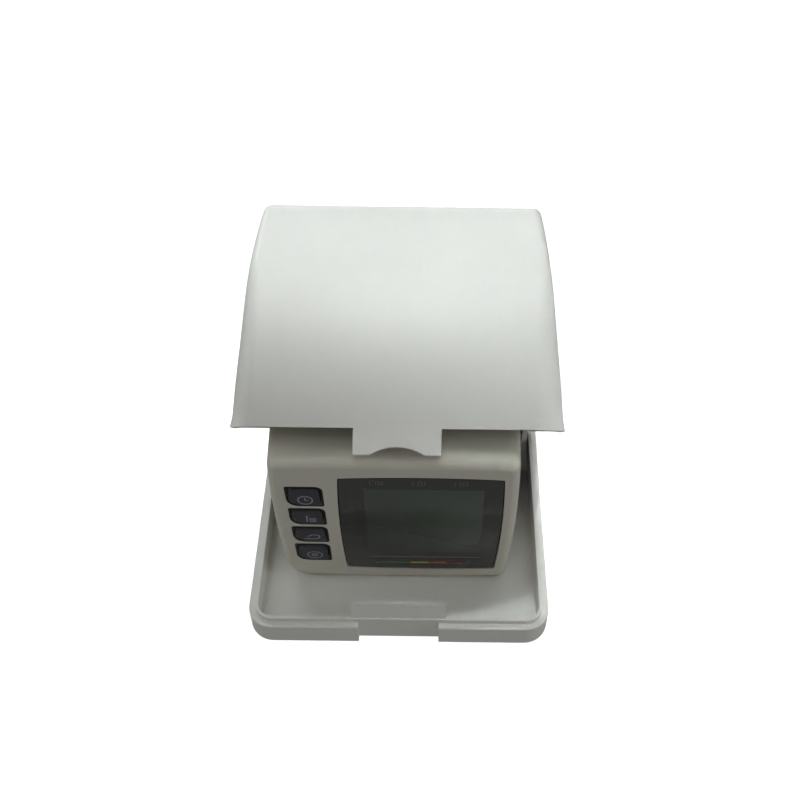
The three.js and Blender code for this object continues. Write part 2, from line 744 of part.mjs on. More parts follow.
// The door closes the box and carries the link that joins the two batteries.
function makeDoor() {
  const depths = [cellFront, cellBack];
  const shell = cut(housing(0, [0, monitorDepth]), housing(door.plate, [-overrun, monitorDepth + overrun]));
  const plate = shell.intersect(block([boxRight, monitorWidth], depths, [doorLow, doorHigh]));
  const plug = block([boxRight + restGap, halfWidth], depths, [doorLow, doorHigh])
    .intersect(housing(door.plate / 2, [0, monitorDepth]));
  return piece('battery_door', cream, join(plate, plug));
}

function makeAirPieces() {
  const y = airFront + pump.depth / 2;
  const { z } = pump;
  const left = pumpX - pump.width / 2;
  const right = pumpX + pump.width / 2;
  const top = z + pump.height / 2;
  const camRight = left - cam.sideRoom;
  const camLeft = camRight - cam.thick;
  const noseRight = camLeft - cam.sideRoom;
  const motorRight = noseRight - motor.noseLength;
  const motorLeft = motorRight - motor.length;
  const bore = motor.shaft + restGap;
  const valveY = airFront + valve.radius;
  const valveLeft = right + valve.pipe;
  const valveRight = valveLeft + valve.length;
  const ports = [pumpX, left + 2 * pump.port];
  const headStart = valveRight + valve.travel + restGap;
  const sensorX = sensor.fromLeft - halfWidth;
  const sensorTop = airFront + sensor.height + sensor.portLength + restGap;
  const portTop = top + pump.portLength + restGap;
  let body = block([left, right], [airFront, airFront + pump.depth], [z - pump.height / 2, top]);
  for (const x of ports) {
    body = join(body, rod('z', pump.port, [z, top + pump.portLength], [x, y, 0], 12));
    body = cut(body, rod('z', pump.bore, [top - pump.portLength, top + overrun], [x, y, 0], 8));
  }
  const shaftEnds = [motorRight - motor.shaftRun, left + motor.shaftRun];
  return [
    piece('air_pump', white, cut(
      body, rod('x', bore, [left - overrun, left + motor.shaftRun + restGap], [0, y, z], 12))),
    piece('pump_motor', steel, cut(
      join(rod('x', motor.radius, [motorLeft, motorRight], [0, y, z]),
        rod('x', motor.nose, [motorRight - motor.noseLength, noseRight], [0, y, z], 16)),
      rod('x', bore, [motorRight - motor.shaftRun - restGap, noseRight + overrun], [0, y, z], 12))),
    piece('pump_cam', charcoal, join(
      rod('x', motor.shaft, shaftEnds, [0, y, z], 12),
      rod('x', cam.radius, [camLeft, camRight], [0, y + cam.offset, z]))),
    piece('release_valve', charcoal, cut(
      rod('x', valve.radius, [valveLeft, valveRight], [0, valveY, z]),
      rod('x', valve.plunger + restGap, [valveRight - valve.length / 2, valveRight + overrun],
        [0, valveY, z], 12))),
    piece('valve_plunger', brass, join(
      rod('x', valve.plunger, [headStart - valve.length / 2, headStart], [0, valveY, z], 12),
      rod('x', valve.plungerHead, [headStart, headStart + valve.headLength], [0, valveY, z], 16))),
    hosePiece('hose_to_valve', [[right + restGap, valveY, z], [valveLeft - restGap, valveY, z]]),
    hosePiece('hose_to_cuff', [
      [pumpX, y, portTop], [pumpX, y, nipple.z], [pumpX, y, nipple.z],
      [pumpX, nippleFront() - restGap, nipple.z]]),
    hosePiece('hose_to_sensor', [
      [ports[1], y, portTop], [ports[1], y, sensor.z + hose.bend],
      [sensorX, y + hose.bend, sensor.z], [sensorX, sensorTop, sensor.z]]),
  ];
}

// A hose through its end points, bent like a Bezier curve between them.
function hosePiece(name, points) {
  const places = points.map((point) => new THREE.Vector3(...point));
  const path = places.length === 2
    ? new THREE.LineCurve3(...places)
    : new THREE.CubicBezierCurve3(...places);
  const section = new THREE.Shape().absarc(0, 0, hose.radius, 0, 2 * Math.PI);
  section.holes.push(new THREE.Path().absarc(0, 0, hose.bore, 0, 2 * Math.PI));
  const steps = places.length === 2 ? 1 : hose.steps;
  return piece(name, rubber, solid(new THREE.ExtrudeGeometry(section, {
    extrudePath: path, steps, curveSegments: 5, bevelEnabled: false })));
}

function makeBoardParts() {
  const x = sensor.fromLeft - halfWidth;
  const { z } = sensor;
  const top = airFront + sensor.height;
  const half = sensor.size / 2;
  const chipHalf = chip.size / 2;
  const chipX = chip.fromLeft - halfWidth;
  const buzzerAt = [halfWidth - buzzer.fromRight, 0, buzzer.z];
  return [
    piece('pressure_sensor', white, join(
      block([x - half, x + half], [airFront, top], [z - half, z + half]),
      rod('y', sensor.port, [top - sensor.port, top + sensor.portLength], [x, 0, z], 12))),
    piece('buzzer', charcoal, cut(
      rod('y', buzzer.radius, [airFront, airFront + buzzer.height], buzzerAt),
      rod('y', buzzer.hole, [airFront + buzzer.height / 2, airFront + overrun], buzzerAt, 12))),
    piece('control_chip', charcoal, block(
      [chipX - chipHalf, chipX + chipHalf], [airFront, airFront + chip.height],
      [chip.z - chipHalf, chip.z + chipHalf])),
  ];
}

function nippleFront() {
  return wristDepth(nipple.z - nipple.flange, house.wall) - restGap - nipple.flangeThick;
}

function makeNipple() {
  const front = nippleFront();
  const place = [pumpX, 0, nipple.z];
  const layers = cuff.cloth + cuff.stiffener + 2 * restGap;
  const tip = wristDepth(nipple.z) + layers;
  return piece('air_nipple', white, cut(
    join(rod('y', nipple.flange, [front, front + nipple.flangeThick], place),
      rod('y', nipple.radius, [front, tip], place, 16)),
    rod('y', nipple.bore, [front - overrun, tip + overrun], place, 12)));
}

// The cuff's side view, drawn in by an inset; its front follows the housing's hollow back.
function loopOutline(inset) {
  const frontSwing = wristRadius - restGap;
  const rearMiddle = wristDepth(0) + restGap + cuff.depth;
  const rearCentre = rearMiddle - cuff.rearSwing;
  const middle = (cuffTop + cuffBottom) / 2;
  const outline = new THREE.Shape();
  const ends = [[cuffTop, 1], [cuffBottom, -1]].map(([edge, up]) => {
    const frontZ = edge - up * cuff.frontCorner;
    const rearZ = edge - up * cuff.rearCorner;
    const frontY = wristCentre - Math.sqrt((frontSwing - cuff.frontCorner) ** 2 - frontZ ** 2);
    const rearY = rearCentre + Math.sqrt((cuff.rearSwing - cuff.rearCorner) ** 2 - (rearZ - middle) ** 2);
    return {
      frontY,
      frontZ,
      rearY,
      rearZ,
      frontTurn: Math.atan2(frontZ, frontY - wristCentre),
      rearTurn: Math.atan2(rearZ - middle, rearY - rearCentre),
    };
  });
  const [upper, lower] = ends;
  const frontRadius = cuff.frontCorner - inset;
  const rearRadius = cuff.rearCorner - inset;
  const fullTurn = 2 * Math.PI;
  outline.absarc(wristCentre, 0, frontSwing - inset, upper.frontTurn, lower.frontTurn + fullTurn);
  outline.absarc(lower.frontY, lower.frontZ, frontRadius, lower.frontTurn + fullTurn, 1.5 * Math.PI);
  outline.absarc(lower.rearY, lower.rearZ, rearRadius, -Math.PI / 2, lower.rearTurn);
  outline.absarc(rearCentre, middle, cuff.rearSwing - inset, lower.rearTurn, upper.rearTurn);
  outline.absarc(upper.rearY, upper.rearZ, rearRadius, upper.rearTurn, Math.PI / 2);
  outline.absarc(upper.frontY, upper.frontZ, frontRadius, Math.PI / 2, upper.frontTurn);
  return outline;
}

function loop(inset, thick, sideInset) {
  const half = cuffWidth / 2 - sideInset;
  const span = [cuff.offsetX - half, cuff.offsetX + half];
  const wide = [span[0] - overrun, span[1] + overrun];
  const shape = { curveSegments: 4 };
  return cut(
    extruded(loopOutline(inset), 'x', span, shape), extruded(loopOutline(inset + thick), 'x', wide, shape));
}

function makeCuff() {
  const stiffenerAt = cuff.cloth + restGap;
  const bladderAt = stiffenerAt + cuff.stiffener + restGap;
  const liningAt = bladderAt + cuff.bladder + restGap;
  const total = liningAt + cuff.lining;
  const middle = (cuffTop + cuffBottom) / 2;
  const rear = wristDepth(0) + cuff.depth / 2;
  const away = monitorDepth + 2 * cuff.depth;
  const airHole = rod('y', nipple.radius + restGap, [0, rear], [pumpX, 0, nipple.z], 16);
  const gapEnds = [middle - cuff.bladderGap / 2, middle + cuff.bladderGap / 2];
  const split = block([-monitorWidth, monitorWidth], [rear, away], gapEnds);
  const made = [
    piece('cuff_cover', darkCloth, cut(loop(0, cuff.cloth, 0), airHole)),
    piece('cuff_stiffener', white, cut(loop(stiffenerAt, cuff.stiffener, cuff.bladderInset / 2), airHole)),
    piece('cuff_bladder', rubber, cut(loop(bladderAt, cuff.bladder, cuff.bladderInset), split)),
    piece('cuff_lining', greyCloth, loop(liningAt, cuff.lining, 0)),
  ];
  for (const [name, side] of [['cuff_binding_left', -1], ['cuff_binding_right', 1]]) {
    const near = cuff.offsetX + side * (cuffWidth / 2 + restGap);
    const band = [near, near + side * cuff.binding].sort((a, b) => a - b);
    const wide = [band[0] - overrun, band[1] + overrun];
    const shape = { curveSegments: 4 };
    made.push(piece(name, darkCloth, cut(
      extruded(loopOutline(0), 'x', band, shape), extruded(loopOutline(total), 'x', wide, shape))));
  }
  const flapLift = 2 * restGap + cuff.hookThick;
  const layers = [
    ['hook_pad', charcoal, restGap, cuff.hookThick, [cuff.hookWidth, cuff.hookHeight]],
    ['closing_flap', greyCloth, flapLift, cuff.flapThick, [cuff.flapWidth, cuff.flapHeight]],
  ];
  for (const [name, finish, lift, thick, [width, height]] of layers) {
    const radii = [cuff.flapRadius, cuff.flapRadius, cuff.flapRadius, cuff.flapRadius];
    const patch = extruded(rounded(width / 2, height / 2, radii, [cuff.offsetX, middle]), 'y', [rear, away]);
    made.push(piece(name, finish, loop(-lift - thick, thick, 0).intersect(patch)));
  }
  return made;
}

const model = new THREE.Group();

const lidPivot = new THREE.Group();
lidPivot.position.set(...hingeLine);
lidPivot.rotation.x = -lidOpening;
lidPivot.add(makeLid());

// The monitor leans a little forward, on its lower front edge and the foot of its cuff.
const monitor = new THREE.Group();
const edgeLift = house.frontEdge * (1 - Math.sin(monitorLean));
monitor.position.set(
  house.offsetX,
  caseFront + room.front,
  tray.floor + restGap + (halfHeight - house.frontEdge) * Math.cos(monitorLean) + edgeLift);
monitor.rotation.x = monitorLean;
monitor.add(makeFrontCover(), makeRearCover(), ...makeScrews());
monitor.add(makeWindow(), ...makeScreen(), ...makeKeys(), makePad(), makeBoard());
monitor.add(...makeBatteries(), ...makeContacts(), makeDoor());
monitor.add(...makeAirPieces(), ...makeBoardParts(), makeNipple(), ...makeCuff());

model.add(makeTray(), ...makePins(), lidPivot, monitor);

export default model;
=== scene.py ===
import math

import bpy
from mathutils import Matrix, Vector, noise


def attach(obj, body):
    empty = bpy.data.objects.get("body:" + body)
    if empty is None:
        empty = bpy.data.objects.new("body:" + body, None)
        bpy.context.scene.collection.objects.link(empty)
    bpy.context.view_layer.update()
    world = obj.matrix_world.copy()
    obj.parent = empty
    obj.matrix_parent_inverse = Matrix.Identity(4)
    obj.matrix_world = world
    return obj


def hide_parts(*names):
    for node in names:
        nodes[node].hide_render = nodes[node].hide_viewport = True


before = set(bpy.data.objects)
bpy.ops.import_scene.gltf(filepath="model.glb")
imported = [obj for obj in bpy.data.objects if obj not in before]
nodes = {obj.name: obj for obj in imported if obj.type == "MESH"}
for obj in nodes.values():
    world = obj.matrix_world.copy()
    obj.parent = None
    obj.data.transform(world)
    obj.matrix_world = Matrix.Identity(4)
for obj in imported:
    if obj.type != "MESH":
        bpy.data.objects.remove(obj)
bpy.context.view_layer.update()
scene = bpy.context.scene
mm = 0.001
print("frame loaded:", len(nodes), "nodes")

# The middle of the housing's face in mm, and its lean in degrees.
monitorPlace = {"middle": (-1.08, -23.45, 36.205), "lean": 5.3}
# The hinge line in mm, and how far the lid stands open in degrees.
lidPlace = {"hinge": (0, 39.1, 22.6), "opening": 52.9}
onMonitor = (Matrix.Translation(Vector(monitorPlace["middle"]) * mm)
             @ Matrix.Rotation(math.radians(monitorPlace["lean"]), 4, "X"))
hinge = Matrix.Translation(Vector(lidPlace["hinge"]) * mm)
onLid = hinge @ Matrix.Rotation(-math.radians(lidPlace["opening"]), 4, "X") @ hinge.inverted()


# Camera, lamps and floor.
def makeCamera():
    settings = {"place": (0.0086, -0.2037, 0.2913), "tilt": 42.47, "turn": 0.265, "roll": -0.8,
                "lens": 45, "sensor": 36, "shift": -0.0444, "clip": 0.01}
    camera = bpy.data.objects.new("camera", bpy.data.cameras.new("camera"))
    scene.collection.objects.link(camera)
    camera.location = settings["place"]
    camera.rotation_euler = [math.radians(settings[key]) for key in ("tilt", "roll", "turn")]
    camera.data.lens = settings["lens"]
    camera.data.sensor_width = settings["sensor"]
    camera.data.shift_x = settings["shift"]
    camera.data.clip_start = settings["clip"]
    scene.camera = camera


# Places, aims and sides in metres, power in watts, spread in degrees.
lamps = {
    "backLight": {"place": (0.02, 0.75, 1.0), "aim": (0, 0, 0.05), "sides": (1.6, 0.5),
                  "power": 6.6, "colour": (0.93, 1, 1), "spread": 180},
    "browLight": {"place": (0.03, 0.115, 1.1), "aim": (0, 0.033, 0.1), "sides": (0.5, 0.09),
                  "power": 0.06, "colour": (0.95, 1, 1), "spread": 3.5},
    "frontLight": {"place": (-0.1, -0.44, 0.92), "aim": (0, -0.035, 0.015), "sides": (0.4, 0.05),
                   "power": 0.006, "colour": (1, 1, 0.97), "spread": 9},
    "leftLight": {"place": (-0.85, 0.05, 0.45), "aim": (0, 0, 0.05), "sides": (0.4, 0.4),
                  "power": 1.1, "colour": (1, 1, 1), "spread": 180},
    "rightLight": {"place": (0.85, -0.2, 0.4), "aim": (0, 0, 0.03), "sides": (0.4, 0.4),
                   "power": 1.3, "colour": (1, 1, 1), "spread": 180},
}


def makeLight(name, lamp):
    light = bpy.data.objects.new(name, bpy.data.lights.new(name, "AREA"))
    scene.collection.objects.link(light)
    light.location = lamp["place"]
    light.rotation_euler = (Vector(lamp["aim"]) - Vector(lamp["place"])).to_track_quat("-Z", "Y").to_euler()
    light.data.shape = "RECTANGLE"
    light.data.size, light.data.size_y = lamp["sides"]
    light.data.energy = lamp["power"]
    light.data.color = lamp["colour"]
    light.data.spread = math.radians(lamp["spread"])


def makeStage():
    settings = {"world": 0.21, "sky": (1, 1, 0.98, 1), "floorHalf": 40.0, "floorGlow": 0.82, "clouds": 2,
                "shades": ((0.93, 0.935, 0.94, 1), (0.95, 0.952, 0.955, 1)), "dull": 0.7, "dullMore": 0.1}
    scene.view_settings.view_transform = "Standard"
    world = bpy.data.worlds.new("studio")
    scene.world = world
    world.use_nodes = True
    sky = world.node_tree.nodes["Background"].inputs
    sky["Color"].default_value = settings["sky"]
    sky["Strength"].default_value = settings["world"]
    for name, lamp in lamps.items():
        makeLight(name, lamp)
    cleared()
    bpy.ops.mesh.primitive_plane_add(size=2 * settings["floorHalf"])
    floor = bpy.context.object
    floor.name = "floor"
    look = Look("paleFloor")
    cloudy = look.noise(look.place(), settings["clouds"], 2)
    look.surface(look.mixed(cloudy, *settings["shades"]), cloudy * settings["dullMore"] + settings["dull"],
                 Emission_Color=(1, 1, 1, 1), Emission_Strength=settings["floorGlow"])
    floor.data.materials.append(look.material)
    floor.visible_diffuse = False
    floor.visible_glossy = False


# Shaders, written as sums of sockets.
class Wire:
    def __init__(self, look, socket):
        self.look = look
        self.socket = socket

    def sum(self, operation, first, second):
        return self.look.add("ShaderNodeMath", {"operation": operation}, {0: first, 1: second})

    def __add__(self, other):
        return self.sum("ADD", self, other)

    def __sub__(self, other):
        return self.sum("SUBTRACT", self, other)

    def __mul__(self, other):
        return self.sum("MULTIPLY", self, other)

    def __rsub__(self, other):
        return self.sum("SUBTRACT", other, self)

    def wave(self, pitch):  # from 0 to 1 and back once in each pitch
        turned = self * (2 * math.pi / pitch)
        return self.look.add("ShaderNodeMath", {"operation": "SINE"}, {0: turned}) * 0.5 + 0.5

    def past(self, edge, soft):  # 0 below an edge and 1 above it
        return self.look.add(
            "ShaderNodeMapRange", {"interpolation_type": "SMOOTHSTEP"},
            {"Value": self, "From Min": edge - soft / 2, "From Max": edge + soft / 2})

    def between(self, low, high, soft):
        return self.past(low, soft) * (1 - self.past(high, soft))

    def over(self, other, share):  # this one by its share, the other by the rest
        return self * share + other * (1 - share)


class Look:
    def __init__(self, name):
        self.material = bpy.data.materials.new(name)
        self.material.use_nodes = True
        self.tree = self.material.node_tree
        self.tree.nodes.clear()
        self.output = self.tree.nodes.new("ShaderNodeOutputMaterial")

    def add(self, kind, settings, sockets, out=0):
        made = self.tree.nodes.new(kind)
        for key, value in settings.items():
            setattr(made, key, value)
        for key, value in sockets.items():
            if isinstance(value, Wire):
                self.tree.links.new(value.socket, made.inputs[key])
            else:
                made.inputs[key].default_value = value
        return Wire(self, made.outputs[out])

    def place(self, middle=(0, 0, 0), turn=(0, 0, 0), scale=1.0):  # object coordinates, seen from a place
        own = self.add("ShaderNodeTexCoord", {}, {}, "Object")
        return self.add("ShaderNodeMapping", {"vector_type": "TEXTURE"},
                        {"Vector": own, "Location": middle, "Rotation": turn, "Scale": (scale,) * 3})

    def housingPlace(self):  # x, depth and height on the housing, in mm
        middle = tuple(value * mm for value in monitorPlace["middle"])
        return self.place(middle, (math.radians(monitorPlace["lean"]), 0, 0), mm)

    def clothPlace(self):  # a piece's own map, in metres along and across
        return self.add("ShaderNodeUVMap", {}, {}, "UV")

    def parts(self, vector):
        made = self.tree.nodes.new("ShaderNodeSeparateXYZ")
        self.tree.links.new(vector.socket, made.inputs[0])
        return [Wire(self, made.outputs[axis]) for axis in "XYZ"]

    def noise(self, vector, scale, detail=2.0, rough=0.5):
        return self.add("ShaderNodeTexNoise", {},
                        {"Vector": vector, "Scale": scale, "Detail": detail, "Roughness": rough}, "Fac")

    def cells(self, vector, scale):
        return self.add("ShaderNodeTexVoronoi", {"feature": "F1"}, {"Vector": vector, "Scale": scale},
                        "Distance")

    def mixed(self, factor, first, second):
        return self.add("ShaderNodeMix", {"data_type": "RGBA"}, {0: factor, 6: first, 7: second}, 2)

    def bump(self, height, distance):
        return self.add("ShaderNodeBump", {}, {"Height": height, "Distance": distance, "Strength": 1.0})

    def surface(self, colour, roughness, normal=None, **fixed):
        sockets = {"Base Color": colour, "Roughness": roughness}
        if normal is not None:
            sockets["Normal"] = normal
        sockets.update({key.replace("_", " "): value for key, value in fixed.items()})
        shader = self.add("ShaderNodeBsdfPrincipled", {}, sockets)
        self.tree.links.new(shader.socket, self.output.inputs["Surface"])
        return self.material


def tone(text):  # a screen colour such as e4e6e9 as linear light
    parts = [int(text[k:k + 2], 16) / 255 for k in (0, 2, 4)]
    return tuple(p / 12.92 if p <= 0.04045 else ((p + 0.055) / 1.055) ** 2.4 for p in parts) + (1,)


# Moulded plastic: a fine eroded grain, faint flow marks and a dull bloom on what is handled.
def plasticLook(name, light, dark, grain=1500, depth=0.000012, shine=0.38):
    settings = {"flow": 28, "speck": 0.6, "bloom": 90, "flowShare": 0.7, "pitShare": 0.6,
                "bloomDull": 0.12, "speckDull": 0.05, "lower": 0.08}
    look = Look(name)
    place = look.place()
    flow = look.noise(place, settings["flow"], 3)
    pits = look.cells(place, grain)
    speck = look.noise(place, grain * settings["speck"], 2)
    bloom = look.noise(place, settings["bloom"], 4)
    colour = look.mixed(flow.over(speck, settings["flowShare"]), light, dark)
    normal = look.bump(pits.over(speck, settings["pitShare"]), depth)
    dull = bloom * settings["bloomDull"] + speck * settings["speckDull"]
    return look.surface(colour, dull + (shine - settings["lower"]), normal)


def metalLook(name, light, dark):
    settings = {"along": (40, 900, 900), "stain": 160, "stainShare": 0.6, "dull": 0.22, "streakDull": 0.18,
                "depth": 0.000006}
    look = Look(name)
    place = look.place()
    stretched = look.add("ShaderNodeVectorMath", {"operation": "MULTIPLY"}, {0: place, 1: settings["along"]})
    streak = look.noise(stretched, 1.0, 3)
    stain = look.noise(place, settings["stain"], 3)
    colour = look.mixed(stain.over(streak, settings["stainShare"]), light, dark)
    return look.surface(colour, streak * settings["streakDull"] + settings["dull"],
                        look.bump(streak, settings["depth"]), Metallic=1.0)


def rubberLook(name, light, dark):
    settings = {"dust": 220, "pits": 2600, "dull": 0.68, "dustDull": 0.15, "depth": 0.00001}
    look = Look(name)
    place = look.place()
    dust = look.noise(place, settings["dust"], 4, 0.6)
    pits = look.cells(place, settings["pits"])
    return look.surface(look.mixed(dust, light, dark), dust * settings["dustDull"] + settings["dull"],
                        look.bump(pits, settings["depth"]))


# Woven cloth: threads over and under, worn patches and loose hairs.
def weaveLook(name, light, dark, pitch=0.00062, fuzz=0.35):
    settings = {"worn": 55, "hairs": 5200, "soft": 0.12, "threads": 0.75, "wornShare": 0.25, "raised": 0.7,
                "dull": 0.84, "wornDull": 0.1, "depth": 0.00008, "sheen": 0.3, "sheenDull": 0.5}
    look = Look(name)
    own = look.clothPlace()
    along, across, _ = look.parts(own)
    upper = ((along.wave(2 * pitch) - 0.5) * (across.wave(2 * pitch) - 0.5)).past(0, settings["soft"])
    threads = along.wave(pitch) * upper + across.wave(pitch) * (1 - upper)
    worn = look.noise(own, settings["worn"], 4, 0.6)
    hairs = look.noise(own, settings["hairs"], 3, 0.7)
    tint = threads * (settings["threads"] - fuzz) + worn * settings["wornShare"] + hairs * fuzz
    return look.surface(look.mixed(tint, dark, light), worn * settings["wornDull"] + settings["dull"],
                        look.bump(threads.over(hairs, settings["raised"]), settings["depth"]),
                        Sheen_Weight=settings["sheen"], Sheen_Roughness=settings["sheenDull"])


# Hook cloth: short curled fibres with no visible threads.
def fleeceLook(name, light, dark):
    settings = {"curls": 1500, "hairs": 3200, "worn": 45, "shares": (0.5, 0.35, 0.3), "raised": 0.5,
                "dull": 0.88, "wornDull": 0.08, "depth": 0.0002, "sheen": 0.5, "sheenDull": 0.4}
    look = Look(name)
    own = look.clothPlace()
    curls = look.cells(own, settings["curls"])
    hairs = look.noise(own, settings["hairs"], 4, 0.75)
    worn = look.noise(own, settings["worn"], 3)
    curled, haired, thin = settings["shares"]
    tint = curls * curled + hairs * haired + worn * thin
    return look.surface(look.mixed(tint, dark, light), worn * settings["wornDull"] + settings["dull"],
                        look.bump(curls.over(hairs, settings["raised"]), settings["depth"]),
                        Sheen_Weight=settings["sheen"], Sheen_Roughness=settings["sheenDull"])


# The smoked window: a dark border and a greener field, with painted reflected light, lighter towards the top
# and right.
def windowLook():
    settings = {"across": (-9.0, 26.7), "up": (-16.3, 21.3), "soft": 0.7, "haze": 0.09, "smear": 0.35,
                "borderPaintedLightRise": (2, 60), "borderShare": 0.9, "fieldPaintedLightRise": (-2, 34), "fieldPaintedLightRight": (6, 36),
                "fieldShares": (0.6, 0.35, 0.2), "dull": 0.16, "smearDull": 0.08}
    look = Look("displayWindow")
    place = look.housingPlace()
    x, _, z = look.parts(place)
    haze = look.noise(place, settings["haze"], 3)
    smear = look.noise(place, settings["smear"], 4, 0.65)
    # Painted reflected light: the border lighter towards the top, mixed with random haze.
    border = look.mixed(z.past(*settings["borderPaintedLightRise"]).over(haze, settings["borderShare"]),
                        tone("141416"), tone("2c2d2a"))
    rising, rightward, hazy = settings["fieldShares"]
    # Painted light: the field lighter towards the top and right, mixed with random haze.
    fieldHazeAndPaintedLight = (z.past(*settings["fieldPaintedLightRise"]) * rising + x.past(*settings["fieldPaintedLightRight"]) * rightward
               + haze * hazy)
    screen = look.mixed(fieldHazeAndPaintedLight, tone("1a241f"), tone("454f47"))
    shown = x.between(*settings["across"], settings["soft"]) * z.between(*settings["up"], settings["soft"])
    return look.surface(look.mixed(shown, border, screen), smear * settings["smearDull"] + settings["dull"],
                        Coat_Weight=0.2, Coat_Roughness=0.06)


def boardLook():
    settings = {"lanes": (0.0031, 0.0047), "edge": 0.62, "soft": 0.06, "weave": 2400, "dull": 0.3,
                "weaveDull": 0.15, "raised": 0.8, "depth": 0.00003}
    look = Look("boardLaminate")
    place = look.place((0, 0, 0), (math.radians(monitorPlace["lean"]), 0, 0))
    x, _, z = look.parts(place)
    across, up = settings["lanes"]
    lane = (x.wave(across) * z.wave(up)).past(settings["edge"], settings["soft"])
    weave = look.noise(place, settings["weave"], 2)
    colour = look.mixed(lane, tone("1d5334"), tone("2f7a4c"))
    return look.surface(colour, weave * settings["weaveDull"] + settings["dull"],
                        look.bump(lane.over(weave, settings["raised"]), settings["depth"]))


def sleeveLook():  # printed film round a battery, with a bare band at one end
    settings = {"band": (-4, 18, 0.2), "scuff": 1.8, "dull": 0.22, "scuffDull": 0.15, "depth": 0.00001}
    look = Look("batterySleeve")
    place = look.housingPlace()
    x, _, _ = look.parts(place)
    band = x.between(*settings["band"])
    scuff = look.noise(place, settings["scuff"], 4)
    colour = look.mixed(band, tone("b4b7bb"), tone("33383d"))
    return look.surface(colour, scuff * settings["scuffDull"] + settings["dull"],
                        look.bump(scuff, settings["depth"]), Metallic=0.55)


# Helpers for modelling.
def cleared():
    if bpy.context.object and bpy.context.object.mode != "OBJECT":
        bpy.ops.object.mode_set(mode="OBJECT")
    bpy.ops.object.select_all(action="DESELECT")


def chosen(piece):
    cleared()
    piece.select_set(True)
    bpy.context.view_layer.objects.active = piece


def changed(piece, kind, **settings):
    chosen(piece)
    modifier = piece.modifiers.new(kind, kind)
    for key, value in settings.items():
        setattr(modifier, key, value)
    bpy.ops.object.modifier_apply(modifier=modifier.name)


def edgesRounded(piece, width, segments=3, angle=32):
    changed(piece, "BEVEL", width=width * mm, segments=segments, limit_method="ANGLE",
            angle_limit=math.radians(angle), use_clamp_overlap=True)


# Only the edges with a weight are rounded, by their share of the width.
def weighedEdgesRounded(piece, width):
    changed(piece, "BEVEL", width=width * mm, segments=9, limit_method="WEIGHT", use_clamp_overlap=False)


def joined(piece, other):
    changed(piece, "BOOLEAN", object=other, operation="UNION", solver="EXACT")
    bpy.data.objects.remove(other)


def cutBy(piece, tool):
    changed(piece, "BOOLEAN", object=tool, operation="DIFFERENCE", solver="EXACT")
    bpy.data.objects.remove(tool)


def thickened(piece, thick):  # inwards
    changed(piece, "SOLIDIFY", thickness=thick * mm, offset=-1, use_even_offset=True, use_rim=True)


def facesDropped(piece, unwanted):
    chosen(piece)
    for face in piece.data.polygons:
        face.select = unwanted(face)
    bpy.ops.object.mode_set(mode="EDIT")
    bpy.ops.mesh.select_mode(type="FACE")
    bpy.ops.mesh.delete(type="FACE")
    bpy.ops.object.mode_set(mode="OBJECT")


def merged(pieces):
    chosen(pieces[0])
    for other in pieces[1:]:
        other.select_set(True)
    if len(pieces) > 1:
        bpy.ops.object.join()
    return pieces[0]


def cleaned(piece):
    chosen(piece)
    bpy.ops.object.mode_set(mode="EDIT")
    bpy.ops.mesh.select_all(action="SELECT")
    bpy.ops.mesh.remove_doubles(threshold=0.000002)
    bpy.ops.mesh.normals_make_consistent(inside=False)
    bpy.ops.object.mode_set(mode="OBJECT")


# A flat outline drawn from a ring of vertices and pulled out between two ends of an axis.
layouts = {
    "x": lambda along, up, end: (end, along, up),
    "y": lambda along, up, end: (along, end, up),
    "z": lambda along, up, end: (along, up, end),
}


def drawn(name, points, axis, ends):
    lay = layouts[axis]
    cleared()
    bpy.ops.mesh.primitive_circle_add(vertices=len(points), radius=mm, fill_type="NGON")
    piece = bpy.context.object
    piece.name = piece.data.name = name
    for vertex, (along, up) in zip(piece.data.vertices, points):
        vertex.co = Vector(lay(along, up, ends[0])) * mm
    pull = (Vector(lay(0, 0, ends[1])) - Vector(lay(0, 0, ends[0]))) * mm
    bpy.ops.object.mode_set(mode="EDIT")
    bpy.ops.mesh.select_all(action="SELECT")
    bpy.ops.mesh.extrude_region_move(TRANSFORM_OT_translate={"value": pull})
    bpy.ops.mesh.select_all(action="SELECT")
    bpy.ops.mesh.normals_make_consistent(inside=False)
    bpy.ops.object.mode_set(mode="OBJECT")
    return piece


def strip(x0, x1, z0, z1):
    return [(x0, z0), (x1, z0), (x1, z1), (x0, z1)]


def blockPiece(name, across, deep, high):
    return drawn(name, strip(*across, *deep), "z", high)


def arc(centre, radius, start, end, steps):
    return [(centre[0] + radius * math.cos(start + (end - start) * k / steps),
             centre[1] + radius * math.sin(start + (end - start) * k / steps)) for k in range(steps + 1)]


def curve(first, pull, last, steps):  # a quadratic curve, without its first point
    points = []
    for k in range(1, steps + 1):
        t = k / steps
        points.append(tuple((1 - t) ** 2 * a + 2 * t * (1 - t) * b + t * t * c
                            for a, b, c in zip(first, pull, last)))
    return points


# A four-sided outline with a radius at each corner, from the top left clockwise, and bowed sides.
def roundedOutline(half, radii, middle=(0, 0), bow=0.0, steps=10):
    centre = Vector(middle)
    corners = [Vector((x * (half[0] - bow), z * (half[1] - bow))) + centre
               for x, z in ((-1, 1), (1, 1), (1, -1), (-1, -1))]
    points = []
    for k, corner in enumerate(corners):
        before, after = corners[k - 1], corners[(k + 1) % 4]
        enter = corner + (before - corner).normalized() * radii[k]
        leave = corner + (after - corner).normalized() * radii[k]
        last = after + (corner - after).normalized() * radii[(k + 1) % 4]
        side = (corner + after) / 2
        pull = side + (side - centre).normalized() * 2 * bow
        points += [tuple(enter)] if k == 0 else []
        points += curve(enter, corner, leave, steps)
        points += curve(leave, pull, last, steps * 2 if bow else 1)
    return points[:-1]


# Cloth is smooth over every edge below this angle, in degrees.
softSmooth = 60


